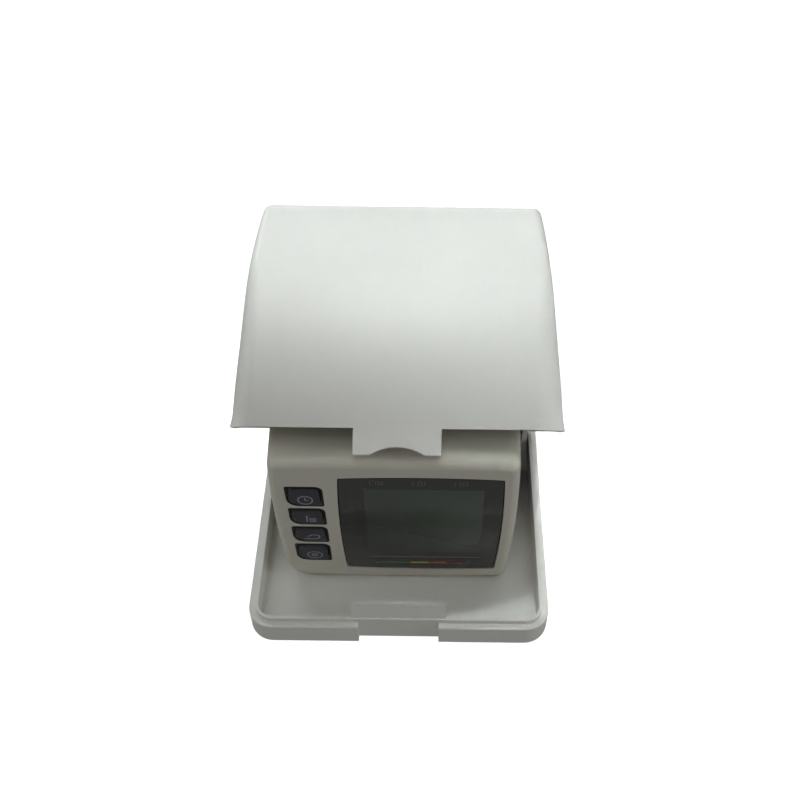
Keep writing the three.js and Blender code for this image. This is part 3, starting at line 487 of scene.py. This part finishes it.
def finished(piece, name, body, look, replaced=(), place=None, smooth=32):
    piece.name = piece.data.name = name
    if place is not None:
        piece.data.transform(place)
    cleaned(piece)
    bpy.ops.object.shade_smooth_by_angle(angle=math.radians(smooth))
    if smooth < softSmooth:  # broad faces stay flat beside their rounded edges
        changed(piece, "WEIGHTED_NORMAL", mode="FACE_AREA", weight=70, keep_sharp=True)
    piece.data.materials.clear()
    piece.data.materials.append(look)
    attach(piece, body)
    if replaced:
        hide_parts(*replaced)


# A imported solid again, with its triangles merged into whole faces and its edges broken.
def dressed(node, name, look, edge, segments=3, body="case_and_monitor", shaped=None):
    piece = bpy.data.objects.new(name, nodes[node].data.copy())
    scene.collection.objects.link(piece)
    chosen(piece)
    bpy.ops.object.mode_set(mode="EDIT")
    bpy.ops.mesh.select_all(action="SELECT")
    bpy.ops.mesh.remove_doubles(threshold=0.000005)
    bpy.ops.mesh.dissolve_limited(angle_limit=math.radians(0.6))
    bpy.ops.object.mode_set(mode="OBJECT")
    if shaped:
        shaped(piece)
    edgesRounded(piece, edge, segments, 40)
    finished(piece, name, body, look, (node,))


# The storage case. The line where lid and tray meet climbs a little from the front corners to the hinge.
meeting = {"from": -38.0, "to": 39.1, "climb": 5.0}


def climbAt(y):
    share = (y - meeting["from"]) / (meeting["to"] - meeting["from"])
    return meeting["climb"] * min(1, max(0, share))


lidSettings = {
    "side": 47.7, "rim": 9.15, "draft": 0.075, "draftFrom": 8.6, "swing": 82.99, "top": 82.6,
    "brow": 7.0, "browAngle": 41.0, "rise": 10.0, "browEnd": 6.75, "back": 42.7, "backRadius": 14.0,
    "wall": 1.3, "edge": 2.3, "plan": 8.0, "planFrom": 30.0, "planTo": 60.0,
    "notch": 45.3, "behind": 60, "beyond": 70, "swept": 8.7, "lugRoom": (41.1, 45.3), "lugClear": 4.5,
    "barrel": 3.6, "barrelEnd": 40.6, "bore": 1.8,
    "tabWidth": 24.8, "tabLength": 7.6, "tabRoot": 1.2, "tabEdge": 0.3, "finger": 15.5, "fingerRise": 2.3,
}


# The lid from the side: an arc about the hinge in front, a brow, a sloping top and a round back.
def lidOutline():
    s = lidSettings
    hingeY, hingeZ = lidPlace["hinge"][1:]
    top, low = s["top"], s["rim"]
    start = math.pi + math.asin((hingeZ - low) / s["swing"])
    browAngle = math.radians(s["browAngle"])
    rise = math.radians(s["rise"])
    reach = s["swing"] - s["brow"]
    browY = hingeY - reach * math.cos(browAngle)
    browZ = hingeZ + reach * math.sin(browAngle)
    riseY = browY - s["brow"] * math.sin(rise)
    riseZ = browZ + s["brow"] * math.cos(rise)
    crownY = riseY + (top - riseZ) / math.tan(rise)
    bend = s["backRadius"]
    points = arc((hingeY, hingeZ), s["swing"], start, math.pi - browAngle, 30)
    points += arc((browY, browZ), s["brow"], math.pi - browAngle, math.pi / 2 + rise, 10)[1:]
    points += curve(points[-1], (crownY, top), (max(s["browEnd"], crownY + s["brow"]), top), 14)
    points += arc((s["back"] - bend, top - bend), bend, math.pi / 2, 0, 16)
    high = low + meeting["climb"]
    return points + [(s["back"], high), (meeting["to"], high), (meeting["from"], low)]


# The edges of the two cheeks are rounded, most at the lower front.
def lidEdgeWeight(a, b):
    s = lidSettings
    near = 0.01
    if a.x * b.x < 0 or all(end.z / mm < s["rim"] + climbAt(end.y / mm) + near for end in (a, b)):
        return 0
    z = (a.z + b.z) / 2 / mm
    y = (a.y + b.y) / 2 / mm
    share = min(1, max(0, (s["planTo"] - z) / (s["planTo"] - s["planFrom"])))
    share = share * share * (3 - 2 * share) if y < 0 else 0
    return (s["edge"] + (s["plan"] - s["edge"]) * share) / s["plan"]


def hingeRod(name, radius, ends, steps):
    points = arc(lidPlace["hinge"][1:], radius, 0, 2 * math.pi, steps)[:-1]
    return drawn(name, points, "x", ends)


# The tab hangs from the middle of the front, with a shallow scoop for a finger.
def lidTab():
    s = lidSettings
    hingeY, hingeZ = lidPlace["hinge"][1:]
    front = hingeY - math.sqrt(s["swing"] ** 2 - (hingeZ - s["rim"]) ** 2)
    half = s["tabWidth"] / 2
    root = s["rim"] + s["tabRoot"]
    foot = s["rim"] - s["tabLength"]
    finger = s["finger"] / 2
    radius = (finger ** 2 + s["fingerRise"] ** 2) / (2 * s["fingerRise"])
    lift = math.asin(finger / radius)
    scoop = arc((0, foot + s["fingerRise"] - radius), radius, math.pi / 2 + lift, math.pi / 2 - lift, 18)
    tab = drawn("tab", [(-half, root), (-half, foot), *scoop, (half, foot), (half, root)], "y",
                (front, front + s["wall"]))
    edgesRounded(tab, s["tabEdge"], 3)
    return tab


def makeLid():
    s = lidSettings
    hingeY, hingeZ = lidPlace["hinge"][1:]
    lid = drawn("caseLid", lidOutline(), "x", (-s["side"], s["side"]))
    mesh = lid.data
    for vertex in mesh.vertices:
        height = vertex.co.z / mm - s["draftFrom"] - climbAt(vertex.co.y / mm)
        vertex.co.x *= 1 - s["draft"] * height / s["side"]
    weights = mesh.attributes.new("bevel_weight_edge", "FLOAT", "EDGE")
    for edge in mesh.edges:
        weights.data[edge.index].value = lidEdgeWeight(*(mesh.vertices[k].co for k in edge.vertices))
    weighedEdgesRounded(lid, s["plan"])
    above = (s["rim"] + meeting["climb"] + 0.05) * mm
    facesDropped(lid, lambda face: face.normal.z < -0.95 and face.center.z < above)
    thickened(lid, s["wall"])
    # Room behind the hinge line: a notch between the lugs, and the corners outside their sweep.
    behind, beyond = s["behind"], s["beyond"]
    cutBy(lid, blockPiece("notchTool", (-s["notch"], s["notch"]), (hingeY, behind), (0, hingeZ)))
    corner = blockPiece("cornerTool", (-behind, behind), (hingeY, behind), (0, hingeZ))
    cutBy(corner, hingeRod("sweepTool", s["swept"], (-beyond, beyond), 96))
    cutBy(lid, corner)
    joined(lid, hingeRod("barrel", s["barrel"], (-s["barrelEnd"], s["barrelEnd"]), 48))
    for side in (-1, 1):
        ends = sorted(side * end for end in s["lugRoom"])
        cutBy(lid, hingeRod("lugTool", s["lugClear"], ends, 48))
    cutBy(lid, hingeRod("boreTool", s["bore"], (-beyond, beyond), 24))
    joined(lid, lidTab())
    finished(lid, "caseLid", "lid", looks["case"], ("case_lid",), onLid, 28)


def sidesClimb(tray):  # the ledge and lip at both sides rise to meet the lid
    settings = {"beyond": 44.6, "above": 8.0}
    for vertex in tray.data.vertices:
        if abs(vertex.co.x) > settings["beyond"] * mm and vertex.co.z > settings["above"] * mm:
            vertex.co.z += climbAt(vertex.co.y / mm) * mm


# The monitor, drawn upright about the middle of its face and leaned back when finished.
frontSettings = {
    "half": (37.2, 34.7), "radii": (4, 4, 5, 9), "bow": 0.8, "depth": 15.0, "edge": 2.8, "flare": 1 / 27,
    "wall": 1.8, "windowGap": 0.3, "through": (-5, 5), "fineEdge": 0.22,
    "door": {"across": (33.3, 45), "deep": (9.8, 21.7), "high": (-31.9, -9.6)},
}
paneSettings = {"middle": 7.9, "half": (24.8, 27.5), "corner": 0.8, "bow": 0.8, "thick": 1.2, "edge": 0.25}


def paneOutline(gap=0):
    s = paneSettings
    half = [side + gap for side in s["half"]]
    return roundedOutline(half, (s["corner"],) * 4, (s["middle"], 0), s["bow"])


def makeFrontCover():
    s = frontSettings
    outline = roundedOutline(s["half"], s["radii"], bow=s["bow"], steps=12)
    cover = drawn("frontCover", outline, "y", (0, s["depth"]))
    mesh = cover.data
    for vertex in mesh.vertices:
        vertex.co.x *= 1 + s["flare"] * vertex.co.y / mm / s["half"][0]
    weights = mesh.attributes.new("bevel_weight_edge", "FLOAT", "EDGE")
    for edge in mesh.edges:
        inFace = all(mesh.vertices[k].co.y < 0.1 * mm for k in edge.vertices)
        weights.data[edge.index].value = float(inFace)
    weighedEdgesRounded(cover, s["edge"])
    facesDropped(cover, lambda face: face.normal.y > 0.95 and face.center.y > (s["depth"] - 0.05) * mm)
    thickened(cover, s["wall"])
    cutBy(cover, drawn("windowTool", paneOutline(s["windowGap"]), "y", s["through"]))
    for row in range(len(keyBodies)):
        cutBy(cover, drawn("keyTool", keyOutline(row, 0.0), "y", s["through"]))
    cutBy(cover, blockPiece("doorTool", s["door"]["across"], s["door"]["deep"], s["door"]["high"]))
    edgesRounded(cover, s["fineEdge"], 2, 50)
    finished(cover, "frontCover", "case_and_monitor", looks["housing"], ("front_cover",),
             onMonitor, 30)


keySettings = {"width": 10.0, "middle": -26.7, "heights": (9.6, 8.4, 8.4, 9.6),
               "rows": (16.875, 5.425, -5.425, -16.875), "radii": (0.8, 2.6, 0.8, 4.4), "fit": 0.45,
               "front": -0.6, "back": 2.9, "edge": 0.55,
               "rim": 0.6, "rimGap": 0.06, "rimEnds": (-0.06, 0.02), "through": (-2, 2)}
keyBodies = ("key_one", "key_two", "key_three", "key_four")


def keyOutline(row, inset):
    half = (keySettings["width"] / 2 - inset, keySettings["heights"][row] / 2 - inset)
    return roundedOutline(half, keySettings["radii"], (keySettings["middle"], keySettings["rows"][row]))


def makeKeys():
    s = keySettings
    for row, body in enumerate(keyBodies):
        cap = drawn("keyCap", keyOutline(row, s["fit"]), "y", (s["front"], s["back"]))
        edgesRounded(cap, s["edge"], 4, 50)
        finished(cap, f"keyCap{row + 1}", body, looks["key"], (f"key_{row + 1}",),
                 onMonitor, 40)
        # A thin dark ring laid on the face round each key: painted shade of the gap round the key.
        surround = drawn("keyGapShadeRing", keyOutline(row, -s["rim"]), "y", s["rimEnds"])
        cutBy(surround, drawn("rimTool", keyOutline(row, s["rimGap"]), "y", s["through"]))
        finished(surround, f"keyGapShadeRing{row + 1}", "case_and_monitor", looks["paintedGapShade"], (),
                 onMonitor, 40)


def makeWindow():
    pane = drawn("displayPane", paneOutline(), "y", (0, paneSettings["thick"]))
    edgesRounded(pane, paneSettings["edge"], 3, 40)
    finished(pane, "displayPane", "case_and_monitor", looks["window"], ("display_window",),
             onMonitor, 40)


# Thin printed marks: closed outlines on a face, a hair thick.
def printed(name, outlines, look, body, front, thick=0.04):
    made = merged([drawn(name, points, "y", (front - thick, front + thick)) for points in outlines])
    finished(made, name, body, look, (), onMonitor, 40)


# A ring with a hair's break in it, as one closed outline: out along the outside and back along the inside.
def ringOutline(centre, radius, width, squash=1.0):
    angles = [math.radians(359.9 * k / 36) for k in range(37)]
    x, z = centre
    outer, inner = ([(x + side * math.cos(a), z + side * math.sin(a) * squash) for a in angles]
                    for side in (radius + width / 2, radius - width / 2))
    return outer + inner[::-1]


def stroke(points, width):  # an open bent line of even width
    left, right = [], []
    for k, point in enumerate(points):
        before = Vector(points[max(k - 1, 0)])
        after = Vector(points[min(k + 1, len(points) - 1)])
        turn = (after - before).normalized()
        side = Vector((-turn.y, turn.x)) * width / 2
        left.append(tuple(Vector(point) + side))
        right.append(tuple(Vector(point) - side))
    return left + right[::-1]


printSettings = {
    "barHeight": 1.1, "barAt": -23.2, "seam": 0.05, "line": 0.4, "lineAt": -19.4, "lineEnds": (-8.8, 26.7),
    "tickStarts": (-7.2, 5.2, 17.5), "tickWide": 0.5, "tickGap": 1.6, "tickPitch": 0.95,
    "tickEnds": (23.6, 26.0),
    "segments": (("Grey", -7.0, -1.3, "4d5f4f"), ("Green", -1.3, 4.6, "3f7040"),
                 ("Yellow", 4.6, 10.4, "a09a3a"), ("Orange", 10.4, 16.2, "b0542c"),
                 ("Red", 16.2, 21.9, "7c2a26"), ("Pale", 22.9, 23.5, "8d8f92")),
}


def makePrints():
    s = printSettings
    bar = (s["barAt"] - s["barHeight"] / 2, s["barAt"] + s["barHeight"] / 2)
    for label, start, end, colour in s["segments"]:
        look = plasticLook(f"ink{label}", tone(colour), tone(colour), shine=0.25)
        printed(f"scale{label}", [strip(start + s["seam"], end - s["seam"], *bar)], look, "case_and_monitor",
                0)
    line = strip(*s["lineEnds"], s["lineAt"] - s["line"] / 2, s["lineAt"] + s["line"] / 2)
    printed("scaleLine", [line], looks["ink"], "case_and_monitor", 0)
    ticks = []
    for start in s["tickStarts"]:
        lefts = [start] + [start + s["tickGap"] + k * s["tickPitch"] for k in range(3)]
        ticks += [strip(left, left + s["tickWide"], *s["tickEnds"]) for left in lefts]
    printed("scaleTicks", ticks, looks["faintInk"], "case_and_monitor", 0)


# Points of each key's symbol, from the middle of its key.
symbolSettings = {
    "width": 0.46, "thick": 0.03,
    "clock": {"middle": (0.2, -1.1), "radius": 2.15, "hands": ((0.2, 0.3), (0.2, -1.2), (1.3, -1.2))},
    "record": {"ends": (0.5, 2.6), "low": -2.2, "high": 0.45, "pitch": 0.85,
               "stem": ((-0.2, -2.2), (-0.2, 1.3))},
    "swing": {"before": ((-2.2, -1.9), (1.5, -1.8)), "middle": (1.6, -0.6), "radius": 1.2,
              "after": ((0.4, 0.5), (-1.0, -0.6))},
    "start": {"middle": (0.4, -0.9), "rings": ((2.35, 1.0, 0.86), (0.95, 0.8, 0.9))},
}


def makeSymbols():
    width = symbolSettings["width"]

    def placed(row, *points):
        return [(keySettings["middle"] + across, keySettings["rows"][row] + up) for across, up in points]

    s = symbolSettings["clock"]
    clock = [ringOutline(*placed(0, s["middle"]), s["radius"], width), stroke(placed(0, *s["hands"]), width)]
    s = symbolSettings["record"]
    record = []
    for k in range(3):
        low = s["low"] + k * s["pitch"]
        record.append(placed(1, *strip(*s["ends"], low, low + s["high"])))
    record.append(stroke(placed(1, *s["stem"]), width))
    s = symbolSettings["swing"]
    bend = arc(s["middle"], s["radius"], -math.pi / 2, math.pi / 2, 12)
    swing = [stroke(placed(2, *s["before"], *bend, *s["after"]), width)]
    s = symbolSettings["start"]
    start = [ringOutline(*placed(3, s["middle"]), radius, width * share, squash)
             for radius, share, squash in s["rings"]]
    symbols = {"markClock": clock, "markRecord": record, "markSwing": swing, "markStart": start}
    for (name, outlines), body in zip(symbols.items(), keyBodies):
        printed(name, outlines, looks["mark"], body, keySettings["front"],
                symbolSettings["thick"])


# The cuff, a loop that leaves the housing's back and comes round behind it.
loopSettings = {"top": 35.5, "bottom": -37.6, "frontCorner": 9.0, "rearCorner": 13.0, "rearRadius": 80.0,
                "halfHeight": 34.7, "hollow": 3.5, "depth": 27.0, "reach": 30.0, "gap": 0.3, "middle": 1.0,
                "half": 37.0, "step": 0.4, "spacing": 1.2}


def loopRear():  # depth of the centre of the round back
    s = loopSettings
    return s["depth"] - s["hollow"] + s["gap"] + s["reach"] - s["rearRadius"]


# Stations round the loop: (depth, height), the way in, and the distance along.
def loopStations():
    s = loopSettings
    wrist = (s["halfHeight"] ** 2 + s["hollow"] ** 2) / (2 * s["hollow"])
    wristY = s["depth"] - s["hollow"] + wrist
    swing = wrist - s["gap"]
    rearY = loopRear()
    middle = (s["top"] + s["bottom"]) / 2
    ends = []
    for edge, up in ((s["top"], 1), (s["bottom"], -1)):
        frontZ = edge - up * s["frontCorner"]
        rearZ = edge - up * s["rearCorner"]
        frontY = wristY - math.sqrt((swing - s["frontCorner"]) ** 2 - frontZ ** 2)
        backY = rearY + math.sqrt((s["rearRadius"] - s["rearCorner"]) ** 2 - (rearZ - middle) ** 2)
        ends.append((frontY, frontZ, backY, rearZ, math.atan2(frontZ, frontY - wristY),
                     math.atan2(rearZ - middle, backY - rearY)))
    upper, lower = ends
    turn = 2 * math.pi
    arcs = [((wristY, 0), swing, upper[4] % turn, lower[4] % turn),
            ((lower[0], lower[1]), s["frontCorner"], lower[4] % turn, 1.5 * math.pi),
            ((lower[2], lower[3]), s["rearCorner"], -math.pi / 2, lower[5]),
            ((rearY, middle), s["rearRadius"], lower[5], upper[5]),
            ((upper[2], upper[3]), s["rearCorner"], upper[5], math.pi / 2),
            ((upper[0], upper[1]), s["frontCorner"], math.pi / 2, upper[4] % turn)]
    points = []
    for centre, radius, start, end in arcs:
        steps = max(2, round(radius * abs(end - start) / s["step"]))
        for y, z in arc(centre, radius, start, end, steps):
            inward = (Vector(centre) - Vector((y, z))).normalized()
            points.append((Vector((y, z)), inward))
    lengths = [0.0]
    for k in range(len(points)):
        lengths.append(lengths[-1] + (points[(k + 1) % len(points)][0] - points[k][0]).length)
    total = lengths[-1]
    count = round(total / s["spacing"])
    stations = []
    k = 0
    for step in range(count):
        along = total * step / count
        while lengths[k + 1] < along:
            k += 1
        share = (along - lengths[k]) / max(lengths[k + 1] - lengths[k], 1e-6)
        here, there = points[k], points[(k + 1) % len(points)]
        stations.append((here[0].lerp(there[0], share), here[1].lerp(there[1], share).normalized(), along))
    return stations, total


# A closed band: a section of (x, inset) points carried round the stations.
def carried(name, section, stations, total, ripple=None):
    vertices, faces = [], []
    for point, inward, along in stations:
        for x, inset in section:
            more = ripple(along, x) if ripple else 0
            y, z = point + inward * (inset + more)
            vertices.append((x * mm, y * mm, z * mm))
    wide = len(section)
    count = len(stations)
    for k in range(count):
        for m in range(wide):
            a, b = k * wide + m, k * wide + (m + 1) % wide
            c, d = ((k + 1) % count) * wide + (m + 1) % wide, ((k + 1) % count) * wide + m
            faces.append((a, b, c, d))
    mesh = bpy.data.meshes.new(name)
    mesh.from_pydata(vertices, [], faces)
    piece = bpy.data.objects.new(name, mesh)
    scene.collection.objects.link(piece)
    around = [0.0]
    for m in range(wide):
        around.append(around[-1] + (Vector(section[(m + 1) % wide]) - Vector(section[m])).length)
    layer = mesh.uv_layers.new(name="cloth")
    for face in mesh.polygons:
        k, m = divmod(face.index, wide)
        corners = ((k, m), (k, m + 1), (k + 1, m + 1), (k + 1, m))
        for loop, (row, column) in zip(face.loop_indices, corners):
            layer.data[loop].uv = (total * row / count * mm, around[column] * mm)
    return piece


# A band's section: its outer side from low to high, a round end, its inner side back, a round end.
def bandSection(low, high, outer, inner, steps=48, roundness=0.35):
    flat = high - low - 2 * roundness
    thick = inner - outer
    bends = [(roundness * math.sin(math.pi * k / 4), thick * (1 - math.cos(math.pi * k / 4)) / 2)
             for k in range(1, 4)]
    section = [(low + roundness + flat * k / steps, outer) for k in range(steps + 1)]
    section += [(high - roundness + out, outer + deep) for out, deep in bends]
    section += [(high - roundness - flat * k / steps, inner) for k in range(steps + 1)]
    section += [(low + roundness - out, inner - deep) for out, deep in bends]
    return section


# Creases in the cloth: waves of (length, width, seed, depth) that fade towards the edges.
ripples = {
    "outer": {"fade": 8, "lift": 0.15, "least": -0.1, "waves": ((16, 30, 3.1, 0.35), (5, 9, 7.7, 0.1))},
    "inner": {"fade": 9, "lift": 0.55, "least": -0.1, "waves": ((14, 26, 13.1, 0.5),)},
}


def rippled(settings):
    def ripple(along, x):
        edge = (loopSettings["half"] - abs(x - loopSettings["middle"])) / settings["fade"]
        crease = sum(noise.noise(Vector((along / length, x / width, seed))) * depth
                     for length, width, seed, depth in settings["waves"])
        return max(settings["least"], (settings["lift"] + crease) * max(0, min(1, edge)))
    return ripple


def makeCuff():
    settings = {"cloth": 0.9, "bladder": (2.3, 4.1), "bladderIn": 4, "lining": (4.4, 5.2),
                "binding": 1.2, "bindingGap": 0.3, "bindingUnder": 0.2, "bindingRound": 0.55}
    stations, total = loopStations()
    middle, half = loopSettings["middle"], loopSettings["half"]
    low, high = middle - half, middle + half
    cover = carried("cuffCover", bandSection(low, high, 0, settings["cloth"]), stations, total,
                    rippled(ripples["outer"]))
    finished(cover, "cuffCover", "case_and_monitor", looks["darkCloth"], ("cuff_cover",),
             onMonitor, softSmooth)
    round(total * mm, 4)
    lining = carried("cuffLining", bandSection(low, high, *settings["lining"]), stations, total,
                     rippled(ripples["inner"]))
    finished(lining, "cuffLining", "case_and_monitor", looks["greyCloth"], ("cuff_lining",),
             onMonitor, softSmooth)
    round((total - 2 * math.pi * 4.4) * mm, 4)
    inner = settings["bladderIn"]
    bladder = carried("cuffBladder", bandSection(low + inner, high - inner, *settings["bladder"]), stations,
                      total)
    finished(bladder, "cuffBladder", "case_and_monitor", looks["rubber"], ("cuff_bladder",),
             onMonitor, softSmooth)
    for name, sign in (("Left", -1), ("Right", 1)):
        near = middle + sign * (half + settings["bindingGap"] - settings["bindingUnder"])
        ends = sorted((near, near + sign * (settings["binding"] + settings["bindingUnder"])))
        section = bandSection(*ends, 0, settings["lining"][1], 4, settings["bindingRound"])
        binding = carried(f"binding{name}", section, stations, total)
        finished(binding, f"binding{name}", "case_and_monitor", looks["tape"],
                 (f"cuff_binding_{name.lower()}",), onMonitor, softSmooth)


# A point on the round back of the loop, lifted off it.
def patchPoint(across, up, lift):
    s = loopSettings
    rise = math.sqrt((s["rearRadius"] + lift) ** 2 - up ** 2)
    return (s["middle"] + across, loopRear() + rise, (s["top"] + s["bottom"]) / 2 + up)


flapSettings = {"size": (52, 40), "corner": 6, "lift": 1.3, "thick": 1.1, "curl": 2.4, "curlFrom": 0.72,
                "crease": 0.35, "seed": 5.0, "seam": 2.3, "seamBend": 0.6, "threadLift": 0.12}
hookSettings = {"size": (42, 30), "corner": 6, "lift": 0.3, "thick": 0.7, "curl": 0, "curlFrom": 0.72,
                "crease": 0, "seed": 1.0}


def curlAt(settings, up):  # how far the free lower end of a patch has lifted
    return max(0, -up / (settings["size"][1] / 2) - settings["curlFrom"]) * settings["curl"]


# A cloth patch with rounded corners, laid on the round back of the loop.
def makePatch(name, s, look, replaced):
    size, corner, thick = s["size"], s["corner"], s["thick"]
    halfWide, halfHigh = size[0] / 2, size[1] / 2
    cleared()
    bpy.ops.mesh.primitive_grid_add(x_subdivisions=56, y_subdivisions=44, size=2 * mm)
    patch = bpy.context.object
    mesh = patch.data
    layer = mesh.uv_layers.active
    layer.name = "cloth"
    for loop in layer.data:
        loop.uv = (loop.uv[0] * size[0] * mm, loop.uv[1] * size[1] * mm)
    for vertex in mesh.vertices:
        share = vertex.co.x / mm
        up = vertex.co.y / mm * halfHigh
        past = max(0, abs(up) - (halfHigh - corner))
        half = halfWide - corner + math.sqrt(max(corner ** 2 - past ** 2, 0))
        crease = noise.noise(Vector((share * 1.6, up / 11, s["seed"]))) * s["crease"]
        lift = s["lift"] + thick + curlAt(s, up) + max(crease, -0.1)
        vertex.co = Vector(patchPoint(share * half, up, lift)) * mm
    thickened(patch, thick)
    edgesRounded(patch, thick * 0.35, 3, 50)
    finished(patch, name, "case_and_monitor", look, replaced, onMonitor, softSmooth)


# Sewing thread in short stitches along a closed path of points in mm.
def sewn(name, path, long=2.1, pitch=3.1, radius=0.17):
    cleared()
    bpy.ops.mesh.primitive_uv_sphere_add(segments=8, ring_count=6, radius=1)
    first = bpy.context.object
    first.data.transform(Matrix.Diagonal((long / 2 * mm, radius * mm, radius * mm, 1)))
    points = [Vector(point) for point in path]
    points.append(points[0])
    lengths = [0.0]
    for before, after in zip(points, points[1:]):
        lengths.append(lengths[-1] + (after - before).length)
    count = round(lengths[-1] / pitch)
    made = []
    k = 0
    for step in range(count):
        along = lengths[-1] * (step + 0.5) / count
        while lengths[k + 1] < along:
            k += 1
        share = (along - lengths[k]) / (lengths[k + 1] - lengths[k])
        heading = (points[k + 1] - points[k]).normalized()
        stitch = first.copy()
        stitch.data = first.data.copy()
        scene.collection.objects.link(stitch)
        stitch.data.transform(Matrix.Translation(points[k].lerp(points[k + 1], share) * mm)
                              @ heading.to_track_quat("X", "Z").to_matrix().to_4x4())
        made.append(stitch)
    bpy.data.objects.remove(first)
    finished(merged(made), name, "case_and_monitor", looks["thread"], (), onMonitor, softSmooth)


def makeClosing():
    makePatch("hookPad", hookSettings, looks["hooks"], ("hook_pad",))
    s = flapSettings
    makePatch("closingFlap", s, looks["greyCloth"], ("closing_flap",))
    half = [side / 2 - s["seam"] for side in s["size"]]
    corner = s["corner"] - s["seam"] * s["seamBend"]
    lift = s["lift"] + s["thick"] + s["threadLift"]
    outline = roundedOutline(half, (corner,) * 4, steps=8)
    sewn("flapStitches", [patchPoint(across, up, lift + curlAt(s, up)) for across, up in outline])
    edge = {"tape": 0.75, "long": 1.8, "pitch": 2.9, "radius": 0.14}
    stations, _ = loopStations()
    for name, sign in (("leftStitches", -1), ("rightStitches", 1)):
        x = loopSettings["middle"] + sign * (loopSettings["half"] + edge["tape"])
        path = [(x, point.x, point.y) for point, _, _ in stations]
        sewn(name, path, edge["long"], edge["pitch"], edge["radius"])


# Every other solid keeps its form and gets its finish.
def finishNodes():
    table = {
        "steel": ("hinge_pin_left", "hinge_pin_right", "housing_screw_1", "housing_screw_2",
                  "housing_screw_3", "housing_screw_4", "pump_motor"),
        "brass": ("contact_plus", "contact_minus", "battery_link", "valve_plunger"),
        "sleeve": ("battery_lower", "battery_upper"),
        "rubber": ("lcd_frame", "seal_strip_upper", "seal_strip_lower", "key_pad", "hose_to_valve",
                   "hose_to_cuff", "hose_to_sensor"),
        "board": ("circuit_board",),
        "inner": ("air_pump", "pressure_sensor", "air_nipple", "cuff_stiffener"),
        "dark": ("pump_cam", "release_valve", "buzzer", "control_chip"),
        "glass": ("lcd_glass",),
    }
    for key, names in table.items():
        for name in names:
            nodes[name].data.materials.clear()
            nodes[name].data.materials.append(looks[key])


makeCamera()
looks = {
    "case": plasticLook("casePlastic", tone("ebebe6"), tone("e4e4df"), 1300, 0.00001, 0.4),
    "housing": plasticLook("housingPlastic", tone("dedbce"), tone("d5d2c4"), 1500, 0.00001, 0.42),
    "key": plasticLook("keyPlastic", tone("3b3b44"), tone("30303a"), 2200, 0.00001, 0.5),
    "mark": plasticLook("markInk", tone("9aa0ab"), tone("8b919c"), 2000, 0.000004, 0.5),
    "ink": plasticLook("paleInk", tone("77797c"), tone("6c6e72"), 2000, 0.000004, 0.3),
    "faintInk": plasticLook("faintInk", tone("5d5c5a"), tone("545351"), 2000, 0.000004, 0.3),
    "inner": plasticLook("innerPlastic", tone("dcdcd8"), tone("cfcfca"), 900, 0.00001, 0.45),
    "dark": plasticLook("darkPlastic", tone("2a2b2f"), tone("1f2023"), 900, 0.00001, 0.4),
    "steel": metalLook("brightSteel", tone("c9cbce"), tone("a6a9ad")),
    "brass": metalLook("contactBrass", tone("c9a55c"), tone("a98644")),
    "rubber": rubberLook("darkRubber", tone("55575c"), tone("404247")),
    "glass": plasticLook("screenGlass", tone("6f7d70"), tone("5d6a60"), 600, 0.000002, 0.12),
    "window": windowLook(),
    "board": boardLook(),
    "sleeve": sleeveLook(),
    "darkCloth": weaveLook("darkCloth", tone("4c525c"), tone("22252b")),
    "greyCloth": weaveLook("greyCloth", tone("8b929c"), tone("5d646e"), 0.0008, 0.3),
    "tape": weaveLook("edgeTape", tone("3c4048"), tone("191b20"), 0.0005, 0.25),
    "hooks": fleeceLook("hookCloth", tone("33353b"), tone("18191d")),
    # Painted shade of the gap round each key.
    "paintedGapShade": rubberLook("keyPaintedGapShade", tone("1d1d20"), tone("141416")),
    "thread": rubberLook("sewingThread", tone("8a9099"), tone("6a7078")),
}
makeStage()
print("camera, light and finishes made")

makeLid()
dressed("case_tray", "caseTray", looks["case"], 0.35, shaped=sidesClimb)
print("case made")

makeFrontCover()
dressed("rear_cover", "rearCover", looks["housing"], 0.2, 2)
dressed("battery_door", "batteryDoor", looks["housing"], 0.2, 2, body="door")
makeWindow()
makeKeys()
makePrints()
makeSymbols()
print("monitor made")

makeCuff()
makeClosing()
finishNodes()
print("cuff made")
